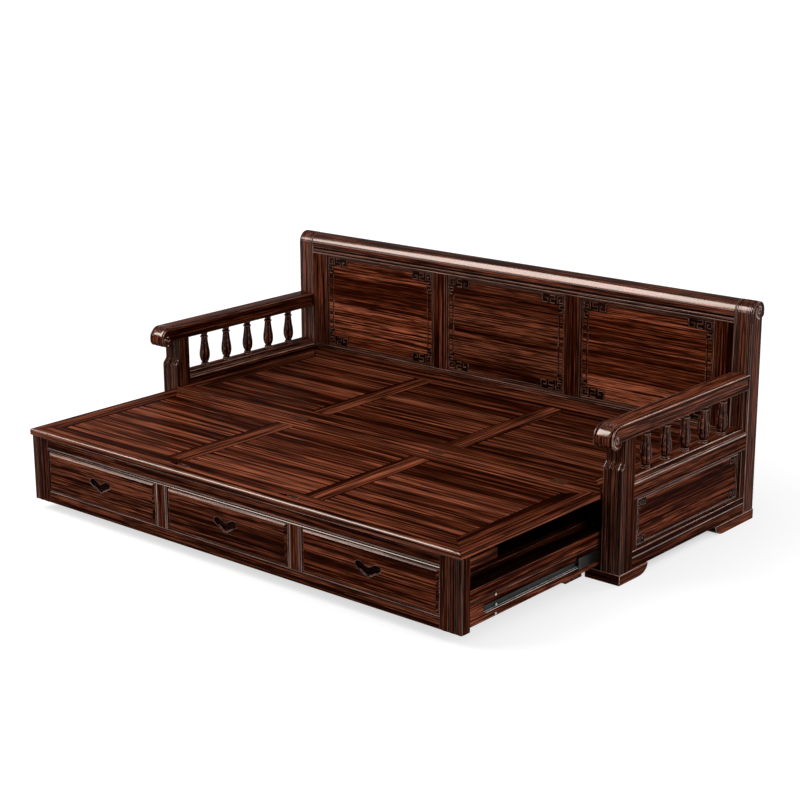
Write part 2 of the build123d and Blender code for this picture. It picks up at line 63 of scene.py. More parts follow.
def set_ramp(ramp, stops):
    """Colours or greys of a ramp, from (place, colour) pairs."""
    while len(ramp.elements) < len(stops):
        ramp.elements.new(1.0)
    for element, (place, colour) in zip(ramp.elements, stops):
        element.position = place
        element.color = (*colour, 1.0)


# Tones of the wood, darkest first: streak, dark band, middle, light band; then how it takes the light. The planed set
# is the wood's own colour. The two pale sets are highlights painted on arrises, one bright and one dim, and the
# near-black set is shade painted into quirks, grooves, recesses and grounds.
FINISHES = {
    "planed": [(0.0100, 0.0015, 0.0004), (0.036, 0.0078, 0.0027), (0.074, 0.0182, 0.0078), (0.135, 0.0400, 0.0200)],
    "painted_highlight": [(0.070, 0.0280, 0.0180), (0.130, 0.0640, 0.0440), (0.190, 0.1030, 0.0770), (0.270, 0.1650, 0.1300)],
    "dim_painted_highlight": [(0.026, 0.0080, 0.0040), (0.066, 0.0240, 0.0140), (0.108, 0.0440, 0.0280), (0.165, 0.0760, 0.0530)],
    "painted_shade": [(0.003, 0.0006, 0.0003), (0.006, 0.0014, 0.0008), (0.011, 0.0028, 0.0015), (0.017, 0.0050, 0.0028)],
}


def striped_wood(name, grain, seed=0.0, light=1.0, level=0.005, rough=0.34, finish="planed", fine=1.0):
    """Rosewood with near-black streaks along one axis, bands of warmer wood and dark pores, fine or open."""
    material = bpy.data.materials.new(name)
    material.use_nodes = True
    tree = material.node_tree
    shader = tree.nodes["Principled BSDF"]
    squeeze = [0.013 if axis == grain else 1.0 for axis in "xyz"]
    dashes = [0.045 if axis == grain else 1.0 for axis in "xyz"]
    place = add_node(tree, "TexCoord").outputs["Object"]
    board = add_node(tree, "NewGeometry").outputs["Random Per Island"]
    shift = add_node(tree, "VectorMath", {0: board}, {1: (9.1, 5.3, 7.7), 2: (seed, seed * 1.7, -seed)},
                     operation="MULTIPLY_ADD")
    stretched = add_node(tree, "Mapping", {"Vector": place, "Location": shift.outputs[0]}, {"Scale": squeeze})
    bend = add_node(tree, "TexNoise", {"Vector": stretched.outputs[0]}, {"Scale": 3.6, "Detail": 2.0})
    wander = add_node(tree, "VectorMath", {0: bend.outputs["Color"], 2: stretched.outputs[0]},
                      {1: (0.014, 0.014, 0.014)}, operation="MULTIPLY_ADD").outputs[0]
    band = add_node(tree, "TexNoise", {"Vector": wander}, {"Scale": 19.0 - 6.0 * fine, "Detail": 2.0})
    streak = add_node(tree, "TexNoise", {"Vector": wander}, {"Scale": 52.0 + 26.0 * fine, "Detail": 4.0, "Roughness": 0.6})
    pore = add_node(tree, "TexNoise", {"Vector": wander}, {"Scale": 190.0 * fine, "Detail": 2.0})
    fleck = add_node(tree, "Mapping", {"Vector": place, "Location": shift.outputs[0]}, {"Scale": dashes})
    fibre = add_node(tree, "TexNoise", {"Vector": fleck.outputs[0]}, {"Scale": 300.0 * fine, "Detail": 1.0})
    dark, low_tone, mid_tone, high_tone = [tuple(part * light for part in tone) for tone in FINISHES[finish]]
    tone = add_node(tree, "Math", {0: pore.outputs[0], 2: band.outputs[0]}, {1: 0.70}, operation="MULTIPLY_ADD")
    colour = add_node(tree, "ValToRGB", {"Fac": tone.outputs[0]})
    set_ramp(colour.color_ramp, [(0.70, low_tone), (0.845, mid_tone), (1.0, high_tone)])
    drift = add_node(tree, "Math", {0: band.outputs[0], 2: streak.outputs[0]}, {1: 0.36}, operation="MULTIPLY_ADD")
    line = add_node(tree, "MapRange", {"Value": drift.outputs[0]}, {"From Min": 0.570, "From Max": 0.604},
                    interpolation_type="SMOOTHSTEP")
    vein = add_node(tree, "MapRange", {"Value": pore.outputs[0]},
                    {"From Min": 0.430, "From Max": 0.472, "To Min": 0.05}, interpolation_type="SMOOTHSTEP")
    ring = add_node(tree, "TexNoise", {"Vector": wander}, {"Scale": 30.0 + 54.0 * fine, "Detail": 1.0})
    ring = add_node(tree, "Math", {0: ring.outputs[0]}, {1: 0.5, 2: 0.034}, operation="COMPARE")
    ring = add_node(tree, "MapRange", {"Value": ring.outputs[0]}, {"To Min": 1.0, "To Max": 0.22})
    clear = add_node(tree, "Math", {0: line.outputs[0], 1: vein.outputs[0]}, operation="MULTIPLY")
    clear = add_node(tree, "Math", {0: clear.outputs[0], 1: ring.outputs[0]}, operation="MULTIPLY")
    figured = add_node(tree, "Mix", {0: clear.outputs[0], 7: colour.outputs[0]}, {6: (*dark, 1.0)}, data_type="RGBA")
    thread = add_node(tree, "MapRange", {"Value": fibre.outputs[0]},
                      {"From Min": 0.3, "From Max": 0.7, "To Min": 0.34, "To Max": 1.78})
    grained = add_node(tree, "Mix", {6: figured.outputs[2], 7: thread.outputs[0]}, {0: 1.0}, data_type="RGBA",
                       blend_type="MULTIPLY")
    tree.links.new(grained.outputs[2], shader.inputs["Base Color"])
    polish = add_node(tree, "MapRange", {"Value": streak.outputs[0]},
                      {"From Min": 0.3, "From Max": 0.7, "To Min": rough * 1.2, "To Max": rough * 0.85})
    tree.links.new(polish.outputs[0], shader.inputs["Roughness"])
    relief = add_node(tree, "Bump", {"Height": pore.outputs[0]}, {"Strength": 0.10, "Distance": 0.4 * MM})
    tree.links.new(relief.outputs[0], shader.inputs["Normal"])
    shader.inputs["Specular IOR Level"].default_value = level
    return material


GRAINS = {"wood_long": "x", "wood_deep": "y", "wood_upright": "z"}
PAINTED_HIGHLIGHT, PAINTED_SHADE, GLOSS_PAINTED_HIGHLIGHT, DIM_PAINTED_HIGHLIGHT = 1, 2, 3, 4
# Each grain's slot gets four copies of its wood for chosen faces. A pale one with more gloss is painted as highlight on
# arrises. A near-black one is painted as shade in quirks and grounds. A lacquered one has real gloss but a lighter
# tone, a painted highlight where the key lamp glints. A dimmer pale one is a softer painted highlight.
painted_light_copies = {}
for slot_name, axis in GRAINS.items():
    painted_light_copies[slot_name] = [
        striped_wood("painted_highlight_arris_" + axis, axis, 1.3, 1.5 if axis == "y" else 1.1, 0.7 if axis == "y" else 0.3, 0.18, "painted_highlight"),
        striped_wood("painted_shade_ground_" + axis, axis, 1.9, level=0.02, rough=0.50, finish="painted_shade"),
        striped_wood("gloss_painted_highlight_" + axis, axis, 2.7, 1.35, 1.0, 0.16),
        striped_wood("dim_painted_highlight_arris_" + axis, axis, 3.1, level=0.12, rough=0.26, finish="dim_painted_highlight"),
    ]
    lacquer = painted_light_copies[slot_name][2].node_tree.nodes["Principled BSDF"]
    lacquer.inputs["Coat Weight"].default_value = 1.0
    lacquer.inputs["Specular Tint"].default_value = (1.0, 0.84, 0.76, 1)
    lacquer.inputs["Coat Roughness"].default_value = 0.13


def copied(node):
    """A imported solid's mesh with its loose triangles joined and its flat faces made whole."""
    bm = bmesh.new()
    bm.from_mesh(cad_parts[node].data)
    bmesh.ops.remove_doubles(bm, verts=bm.verts, dist=0.01 * MM)
    bmesh.ops.dissolve_limit(bm, angle_limit=radians(0.5), verts=bm.verts, edges=bm.edges)
    return bm


def eased(bm, width, segments=2, chosen=None):
    """Round the arrises, or only the chosen ones, by a width in millimetres."""
    arrises = [e for e in bm.edges if e.is_manifold and e.calc_face_angle() > radians(25)]
    arrises = [e for e in arrises if chosen is None or chosen(e)]
    bmesh.ops.bevel(bm, geom=arrises, offset=width * MM, affect="EDGES", segments=segments,
                    profile=0.5, material=-1, clamp_overlap=True)
    return bm


def bend(face):
    """How sharply a face's borders turn away from it, positive where it is an arris."""
    turned_by = sum(edge.calc_face_angle_signed(0.0) * edge.calc_length() for edge in face.edges)
    return turned_by / (2 * max(face.calc_area(), 1e-12))


def piece(bm, name, material, slot, body, *nodes, crease=32, painted_highlight=(115, 1e9), arris=PAINTED_HIGHLIGHT, ends=None):
    """Make a shaped mesh an object. Faces at its arrises take a pale tone as painted highlight, and faces in its quirks
    and at the sharpest bends take a near-black tone as painted shade. Its ends are faced along another axis.
    """
    bmesh.ops.remove_doubles(bm, verts=bm.verts, dist=0.002 * MM)
    bmesh.ops.recalc_face_normals(bm, faces=bm.faces)
    for face in bm.faces:
        face.smooth = True
        # Painted light by how sharply each face bends: convex faces between the two limits take the pale highlight
        # tone, while hollows and sharper bends take the near-black painted shade.
        if slot in GRAINS and face.material_index == 0:
            if painted_highlight[0] < bend(face) < painted_highlight[1]:
                face.material_index = arris
            elif bend(face) < -painted_highlight[0] or bend(face) >= painted_highlight[1]:
                face.material_index = PAINTED_SHADE
        if ends and abs(face.normal["xyz".index(GRAINS[slot])]) > 0.55:
            face.material_index = {0: 5, GLOSS_PAINTED_HIGHLIGHT: 6}.get(face.material_index, face.material_index)
    for edge in bm.edges:
        edge.smooth = edge.is_manifold and edge.calc_face_angle() < radians(crease)
    mesh = bpy.data.meshes.new(name)
    bm.to_mesh(mesh)
    bm.free()
    for finish in (material, *painted_light_copies.get(slot, ())):
        mesh.materials.append(finish)
    if ends:
        mesh.materials.append(striped_wood(name + "_ends", GRAINS[ends], 7.0))
        mesh.materials.append(painted_light_copies[ends][2])
    made = bpy.data.objects.new(name, mesh)
    bpy.context.scene.collection.objects.link(made)
    flats = made.modifiers.new("flat fields", "WEIGHTED_NORMAL")
    flats.keep_sharp = True
    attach(made, body)
    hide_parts(*nodes)
    return made


foot_wood = striped_wood("foot_wood", "y", 2.0)
piece(eased(copied("feet"), 1.9, 3), "feet_wood", foot_wood, "wood_deep", "frame", "feet", ends="wood_long")

# ---------------------------------------------------------------- arm posts
# The upright at the front of each arm: one stick of rosewood, reeded on its front and outer faces.
# The front steps back in an ogee below the scroll, and the reeds are planed through the curve.


def solid(low, high):
    """A squared timber between two corners."""
    bm = bmesh.new()
    bmesh.ops.create_cube(bm, size=1.0)
    bmesh.ops.scale(bm, verts=bm.verts, vec=high - low)
    bmesh.ops.translate(bm, verts=bm.verts, vec=(high + low) / 2)
    return bm


def cut_at(bm, axis, places):
    """Part every face at planes square to an axis."""
    normal = Vector([float(i == axis) for i in range(3)])
    for place in places:
        everything = bm.verts[:] + bm.edges[:] + bm.faces[:]
        bmesh.ops.bisect_plane(bm, geom=everything, plane_co=normal * place, plane_no=normal, dist=1e-7)


def ploughed(bm, face_axis, plane, side, across, moulding, start=0.0, way=1, within=None):
    """Plane a moulding along a flat face: (place, depth) pairs in millimetres from a starting edge."""
    lines = [(start + way * place * MM, depth * MM) for place, depth in moulding]
    cut_at(bm, across, [line for line, depth in lines])
    for vert in bm.verts:
        if abs(vert.co[face_axis] - plane) > 1e-6:
            continue
        if within and not within[1] <= vert.co[within[0]] <= within[2]:
            continue
        for line, depth in lines:
            if abs(vert.co[across] - line) < 1e-6:
                vert.co[face_axis] -= side * depth
                break


def mirrored(moulding, width):
    """A moulding and its reflection, over a face of that width."""
    return [*moulding, *((width - place, depth) for place, depth in reversed(moulding) if place < width / 2)]


corner_bead = [(0, 4), (0.8, 1.6), (2.4, 0.3), (4.2, 0), (6.0, 0.6), (6.8, 3.4), (8.6, 3.4), (9.4, 0.6), (11, 0)]
post_front = mirrored([*corner_bead, (18, 0), (19.8, 0.6), (20.6, 3.2), (22.4, 3.2), (23.2, 0.7), (25, 0), (26.8, 0.7),
                       (27.6, 3.2), (29.4, 3.2), (30.2, 0.6), (32, 0), (38.5, 0)], 77)
post_side = [(4.2, 0), (6.0, 0.6), (6.8, 3.0), (8.6, 3.0), (9.4, 0.6), (11, 0), (19, 0), (20.8, 0.6), (21.6, 3.0),
             (23.2, 3.0), (24, 0.5), (25.6, 0)]
ogee = (395.0, 425.0, 18.0)
for hand, side in (("left", -1), ("right", 1)):
    low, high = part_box("arm_post_" + hand)
    post = solid(low, high)
    ploughed(post, 1, low.y, -1, 0, post_front, low.x)
    for plane, out in ((low.x, -1), (high.x, 1)):
        ploughed(post, 0, plane, out, 1, post_side, low.y)
    cut_at(post, 0, [low.x + 61.5 * MM])
    cut_at(post, 2, [ogee[0] * MM + (ogee[1] - ogee[0]) * MM * step / 10 for step in range(11)])
    for vert in post.verts:
        t = min(max((vert.co.z / MM - ogee[0]) / (ogee[1] - ogee[0]), 0), 1)
        vert.co.y += ogee[2] * MM * t * t * (3 - 2 * t) * (high.y - vert.co.y) / (high.y - low.y)
    post.normal_update()
    # Narrow strips on the ogee's reeds that face up and forwards take the lighter lacquered tone. This is a painted
    # highlight where the key lamp glints.
    for face in post.faces:
        place = (face.calc_center_median().x - low.x) / MM
        if face.normal.z > 0.42 and face.normal.y < 0 and (0.8 < place < 4.2 or 59 < place < 61.5 or 72.6 < place < 76.2):
            face.material_index = GLOSS_PAINTED_HIGHLIGHT
    piece(post, f"arm_post_{hand}_reeded", striped_wood(f"arm_post_{hand}", "z", 4.0 + side, 0.75), "wood_upright",
          "frame", "arm_post_" + hand, crease=50, arris=DIM_PAINTED_HIGHLIGHT)

# ---------------------------------------------------------------- arm rails and stiles
# The frame of each arm: mid rail with the sill that the balusters stand on, bottom rail and two stiles.
# A bead runs along the rails' outer edges and the arrises round the panel are stepped down to it.
edge_bead = [(0, 3.0), (0.6, 0.8), (1.8, 0), (3.0, 0.8), (3.6, 3.0), (5.6, 3.0), (6.2, 0.6), (12.0, 0)]
panel_step = [(0, 6.4), (3.6, 6.4), (4.2, 1.6), (5.0, 0.5), (6.4, 0)]
for hand, side in (("left", -1), ("right", 1)):
    low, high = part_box("arm_mid_rail_" + hand)
    sill_low, rail_top = Vector((low.x + 14 * MM, low.y, high.z - 12 * MM)), high.z - 12 * MM
    outer, inner = (low.x, high.x) if side < 0 else (high.x, low.x)
    rail = solid(low, Vector((high.x, high.y, rail_top)))
    ploughed(rail, 0, outer, side, 2, edge_bead, rail_top, -1)
    ploughed(rail, 0, outer, side, 2, panel_step, low.z)
    ploughed(rail, 0, inner, -side, 2, [*edge_bead, (20, 0), (20.8, 2.0), (22.6, 2.0), (23.4, 0)], rail_top, -1)
    middle = (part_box("balusters_" + hand)[0].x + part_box("balusters_" + hand)[1].x) / 2
    sill = eased(solid(Vector((middle - 24.5 * MM, low.y, rail_top - MM)), Vector((middle + 24.5 * MM, high.y, high.z))), 3, 3)
    sill_mesh = bpy.data.meshes.new("sill")
    sill.to_mesh(sill_mesh)
    rail.from_mesh(sill_mesh)
    piece(rail, f"arm_mid_rail_{hand}_beaded", striped_wood(f"arm_mid_rail_{hand}", "y", 6.0 + side), "wood_deep",
          "frame", "arm_mid_rail_" + hand)


def joined(parts):
    """Several worked timbers in one mesh."""
    whole = bmesh.new()
    for part in parts:
        mesh = bpy.data.meshes.new("part")
        part.to_mesh(mesh)
        part.free()
        whole.from_mesh(mesh)
        bpy.data.meshes.remove(mesh)
    return whole


low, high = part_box("arm_bottom_rails")
rails, stiles = [], []
for side in (-1, 1):
    ends = sorted((side * high.x, side * 1.035))
    rail = solid(Vector((ends[0], low.y, low.z)), Vector((ends[1], high.y, high.z)))
    ploughed(rail, 0, side * high.x, side, 2,
             [*panel_step, (22, 0), (23.2, 2.4), (24.8, 2.4), (25.8, 0.5), (28, 0), (30.2, 0.5), (31.2, 2.4), (32.8, 2.4),
              (34, 0)], high.z, -1)
    rails.append(rail)
    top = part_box("arm_stiles")[1].z
    for start, end, way in ((low.y, low.y + 33 * MM, -1), (high.y, high.y - 33 * MM, 1)):
        near, far = sorted((start, end))
        stile = solid(Vector((ends[0], near, high.z)), Vector((ends[1], far, top)))
        ploughed(stile, 0, side * high.x, side, 1, panel_step, end, way)
        stiles.append(stile)
piece(joined(rails), "arm_bottom_rails_beaded", striped_wood("arm_bottom_rail", "y", 8.3), "wood_deep", "frame",
      "arm_bottom_rails")
piece(joined(stiles), "arm_stiles_stepped", striped_wood("arm_stile", "z", 9.1), "wood_upright", "frame", "arm_stiles")

# ---------------------------------------------------------------- arm panels
# A floating rosewood board in each arm. A double line is carved round it and every corner carries a
# small key fret of raised fillets, joined by plain lines.


def carved(bm, faces, steps):
    """Work faces inwards in steps of (inset, rise) in millimetres, and a finish for the new strip."""
    for inset, rise, *finish in steps:
        strip = bmesh.ops.inset_region(bm, faces=faces, thickness=inset * MM, depth=rise * MM, use_even_offset=True,
                                       use_boundary=True)["faces"]
        for face in strip:
            face.material_index = finish[0] if finish else 0


def swept(bm, section, placings, finish):
    """Draw a small closed section through a row of placings and close both ends."""
    face = bm.faces.new([bm.verts.new(placings[0] @ Vector((u, 0, v))) for u, v in section])
    face.material_index = finish
    for before, after in zip(placings, placings[1:]):
        made = bmesh.ops.extrude_face_region(bm, geom=[face])["geom"]
        face = next(part for part in made if isinstance(part, bmesh.types.BMFace))
        bmesh.ops.transform(bm, matrix=after @ before.inverted(), verts=face.verts[:])


def mitred(points, normal):
    """Placings square to a line at each of its points, mitred where it turns."""
    placings = []
    for i, point in enumerate(points):
        first = max(i - 1, 0)
        ways = [(b - a).normalized() for a, b in zip(points[first:i + 1], points[first + 1:i + 2])]
        along = sum(ways, Vector()).normalized()
        across = along.cross(normal) / along.dot(ways[0])
        basis = Matrix((across, along, normal)).transposed().to_4x4()
        placings.append(Matrix.Translation(point) @ basis)
    return placings


fillet = [(-0.5, -0.4), (-0.42, 0.35), (-0.26, 0.52), (0.26, 0.52), (0.42, 0.35), (0.5, -0.4)]


def shade_painted_grounds(bm, blocks):
    """Part a board round each block of (axis, low, high) limits and give the ground inside it the near-black tone,
    painted shade between the fillets.
    """
    for axis in {axis for block in blocks for axis, low, high in block}:
        cut_at(bm, axis, sorted({limit for block in blocks for place, *limits in block if place == axis for limit in limits}))
    for face in bm.faces:
        centre = face.calc_center_median()
        if any(all(low < centre[axis] < high for axis, low, high in block) for block in blocks):
            face.material_index = PAINTED_SHADE


def fretted(bm, motifs, unit, broad, finish, corner, span, u_way, v_way, normal):
    """Raised fillets of one breadth in the four corners of a panel, mirrored from one corner."""
    wide, tall = span
    section = [(u * broad * MM, v * broad * MM) for u, v in fillet]
    for flip_u in (False, True):
        for flip_v in (False, True):
            for motif in motifs:
                points = []
                for u, v in motif:
                    u, v = u * unit * MM, v * unit * MM
                    u = wide - u if flip_u else u
                    v = tall - v if flip_v else v
                    points.append(corner + u_way * u + v_way * v)
                swept(bm, section, mitred(points, normal), finish)


scroll_key = [(6.4, 7.0), (6.4, 1.8), (1.8, 1.8), (1.8, 6.4), (4.8, 6.4), (4.8, 4.0), (3.4, 4.0)]
low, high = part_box("arm_panels")
stile_low, stile_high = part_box("arm_stiles")
panels = []
for side in (-1, 1):
    face = side * 1.089
    near, far = low.y + 10 * MM, high.y - 10 * MM
    foot, head = stile_low.z + 1.5 * MM, stile_high.z - 1.5 * MM
    ends = sorted((face, side * 1.075))
    board = solid(Vector((ends[0], near, foot)), Vector((ends[1], far, head)))
    front = [f for f in board.faces if f.normal.x * side > 0.9]
    # The double line's grooves take the near-black tone as painted shade, and its middle strip takes the pale tone as
    # painted highlight. The frets' fillets get the dim pale tone, a softer painted highlight.
    carved(board, front, [(0.8, 0), (0.5, -2.2, PAINTED_SHADE), (2.4, 0, PAINTED_SHADE), (0.5, 2.2), (1.5, 0, PAINTED_HIGHLIGHT), (0.6, -1.8, PAINTED_SHADE)])
    ground = face - side * 1.8 * MM
    wide, tall = far - near, head - foot
    unit = 4.4
    corner = Vector((ground, near, head))
    out = tuple(sorted((ground - side * MM, ground + side * MM)))
    blocks = []
    for y_limits in ((near + 1.7 * unit * MM, near + 14.0 * unit * MM), (far - 14.0 * unit * MM, far - 1.7 * unit * MM)):
        for z_limits in ((foot + 1.7 * unit * MM, foot + 8.0 * unit * MM), (head - 8.0 * unit * MM, head - 1.7 * unit * MM)):
            blocks.append(((0, *out), (1, *y_limits), (2, *z_limits)))
    shade_painted_grounds(board, blocks)
    half = wide / 2 / MM / unit
    motifs = [
        scroll_key,
        [(10.4, 4.4), (8.6, 4.4), (8.6, 7.0), (12.6, 7.0), (12.6, 1.8), (half, 1.8)],
        [(4.8, 10.4), (4.8, 8.2), (1.8, 8.2), (1.8, 12.4), (3.4, 12.4), (3.4, tall / 2 / MM / unit)],
    ]
    fretted(board, motifs, unit, 3.5, DIM_PAINTED_HIGHLIGHT, corner, (wide, tall), Vector((0, 1, 0)), Vector((0, 0, -1)), Vector((side, 0, 0)))
    panels.append(board)
piece(joined(panels), "arm_panels_fretted", striped_wood("arm_panel", "y", 11.6, light=1.5), "wood_deep", "frame",
      "arm_panels", arris=DIM_PAINTED_HIGHLIGHT)

# ---------------------------------------------------------------- arm linings
# A plain board inside each arm, from the feet to the mid rail, that the outer slides are screwed to.
piece(eased(copied("arm_linings"), 1.0), "arm_linings_wood", striped_wood("arm_lining", "y", 12.5), "wood_deep",
      "frame", "arm_linings")

# ---------------------------------------------------------------- balusters
# Five turned and fluted balusters in each arm, stub-tenoned into the sill and the handrail. Thin
# saucer rings stand at the foot and under the head, and eight reeds are cut along the body.
turning = [
    (0.0, 16.2, 0), (1.2, 17.2, 0), (4.4, 17.2, 0), (5.4, 16.0, 0), (6.2, 13.0, 0), (7.4, 12.8, 0), (8.2, 15.2, 0),
    (9.4, 16.6, 0), (10.8, 16.4, 0), (11.8, 14.6, 0), (12.6, 12.0, 0), (14.4, 12.2, 0.2), (18.0, 14.4, 0.8),
    (26.0, 18.4, 1), (35.0, 21.0, 1), (45.0, 21.9, 1), (55.0, 21.6, 1), (66.0, 20.2, 1), (78.0, 18.2, 1),
    (91.0, 16.2, 1), (102.0, 14.9, 1), (110.0, 14.2, 0.8), (114.0, 13.8, 0.1), (117.0, 13.8, 0), (118.2, 15.6, 0),
    (119.8, 16.8, 0), (122.0, 16.8, 0), (123.4, 15.6, 0), (124.6, 13.0, 0), (128.0, 12.6, 0), (133.0, 13.4, 0),
    (137.0, 15.4, 0), (139.0, 16.2, 0), (145.0, 16.2, 0),
]
for hand, side in (("left", -1), ("right", 1)):
    low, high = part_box("balusters_" + hand)
    axis = (low.x + high.x) / 2
    first, last = low.y + 20 * MM, high.y - 20 * MM
    turned = bmesh.new()
    for count in range(5):
        centre = Vector((axis, first + (last - first) * count / 4, low.z))
        ring = bmesh.ops.create_circle(turned, cap_ends=True, radius=turning[0][1] * MM, segments=48)["verts"]
        bmesh.ops.translate(turned, verts=ring, vec=centre)
        face = ring[0].link_faces[0]
        for (height, radius, flute), (height_before, radius_before, flute_before) in zip(turning[1:], turning):
            made = bmesh.ops.extrude_face_region(turned, geom=[face])["geom"]
            face = next(part for part in made if isinstance(part, bmesh.types.BMFace))
            bmesh.ops.translate(turned, verts=face.verts[:], vec=(0, 0, (height - height_before) * MM))
            for vert in face.verts:
                out = Vector((vert.co.x - centre.x, vert.co.y - centre.y, 0))
                turn = round(atan2(out.y, out.x) / (2 * pi / 48)) % 6
                reach = radius * (1 - flute * (0.15, 0.03, 0.0, 0.0, 0.0, 0.03)[turn])
                vert.co += out.normalized() * (reach * MM - out.length)
    for face in turned.faces:
        centre = face.calc_center_median()
        height = (centre.z - low.z) / MM
        stand = (last - first) / 4
        across = centre.y - first - stand * round((centre.y - first) / stand)
        turn = (atan2(across, centre.x - axis) / (2 * pi / 48) + 3) % 6 - 3
        # The saucer rings take the pale tone as painted highlight. The hollows beside them and the flute valleys take
        # the near-black tone as painted shade.
        if 0.1 < height < 5.4 or 8 < height < 11.6 or 117 < height < 123.6:
            face.material_index = PAINTED_HIGHLIGHT
        elif 5.4 < height < 8 or 11.6 < height < 14 or 123.6 < height < 127:
            face.material_index = PAINTED_SHADE
        elif 16 < height < 112 and abs(turn) < 1:
            face.material_index = PAINTED_SHADE
    piece(turned, f"balusters_{hand}_fluted", striped_wood(f"baluster_{hand}", "z", 14.0 + side, 1.25, 0.18, 0.26),
          "wood_upright", "frame", "balusters_" + hand, crease=60, painted_highlight=(1e8, 1e9))

# ---------------------------------------------------------------- handrails
# The top rail of each arm, whose front end rolls forwards and down into a scroll. Lip beads and a thin
# groove follow both edges round the scroll, and each side face is carved with a small volute.


def outline(bm, corners, rounds, x):
    """A flat face from (depth, height, corner offset, steps) points, its corners rounded."""
    verts = [bm.verts.new((x, y * MM, z * MM)) for y, z in corners]
    face = bm.faces.new(verts)
    for index, (offset, steps) in rounds.items():
        bmesh.ops.bevel(bm, geom=[verts[index]], offset=offset * MM, affect="VERTICES", segments=steps, profile=0.5,
                        material=-1, clamp_overlap=False)
    return bm.faces[:][0]


def broadened(bm, face, width, steps):
    """Thicken a side view from its middle and carve both flanks alike."""
    made = bmesh.ops.extrude_face_region(bm, geom=[face])["geom"]
    moved = [part for part in made if isinstance(part, bmesh.types.BMVert)]
    bmesh.ops.translate(bm, verts=moved, vec=(width * MM, 0, 0))
    bmesh.ops.translate(bm, verts=bm.verts, vec=(-width * MM / 2, 0, 0))
    bmesh.ops.recalc_face_normals(bm, faces=bm.faces)
    flanks = [f for f in bm.faces if abs(f.normal.x) > 0.99 and len(f.verts) > 6]
    carved(bm, flanks, steps)
    return flanks


def volute(bm, centre, radius, bead, side, start, way, quarters=7, shrink=0.80):
    """A raised scroll on a side face, drawn in quarter turns that tighten to an eye, over a thin near-black disc that
    paints the shade of a carved ground. The beads and the eye take the lighter lacquered tone as painted highlight.
    """
    section = [(bead * MM * cos(pi * i / 4), bead * MM * sin(pi * i / 4)) for i in range(8)]
    hub, reach, angle, placings, size = Vector(centre), radius * MM, start, [], 1.0
    for quarter in range(quarters):
        for step in range(7 if quarter == quarters - 1 else 6):
            turn = angle + way * step * pi / 12
            spoke = Vector((0, cos(turn), sin(turn)))
            along = Vector((0, -sin(turn), cos(turn)))
            basis = Matrix((spoke * size, along, Vector((side * size, 0, 0)))).transposed().to_4x4()
            placings.append(Matrix.Translation(hub + spoke * reach) @ basis)
            size *= 0.992
        angle += way * pi / 2
        spoke = Vector((0, cos(angle), sin(angle)))
        hub += spoke * reach * (1 - shrink)
        reach *= shrink
    swept(bm, section, placings, GLOSS_PAINTED_HIGHLIGHT)
    # A disc just proud of the face, in the near-black tone, stands for the shade of a sunk ground: painted shade.
    ground = bmesh.ops.create_circle(bm, cap_ends=True, radius=radius * 0.98 * MM, segments=40)["verts"]
    bmesh.ops.rotate(bm, verts=ground, matrix=Matrix.Rotation(side * pi / 2, 3, "Y"))
    bmesh.ops.translate(bm, verts=ground, vec=Vector(centre) + Vector((-side * 0.3 * MM, 0, 0)))
    ground[0].link_faces[0].material_index = PAINTED_SHADE
    eye = bmesh.ops.create_uvsphere(bm, u_segments=16, v_segments=8, radius=1.0)["verts"]
    for vert in eye:
        for face in vert.link_faces:
            face.material_index = GLOSS_PAINTED_HIGHLIGHT
    bmesh.ops.scale(bm, verts=eye, vec=(bead * 0.98 * MM, reach * 0.72, reach * 0.72))
    bmesh.ops.translate(bm, verts=eye, vec=hub)


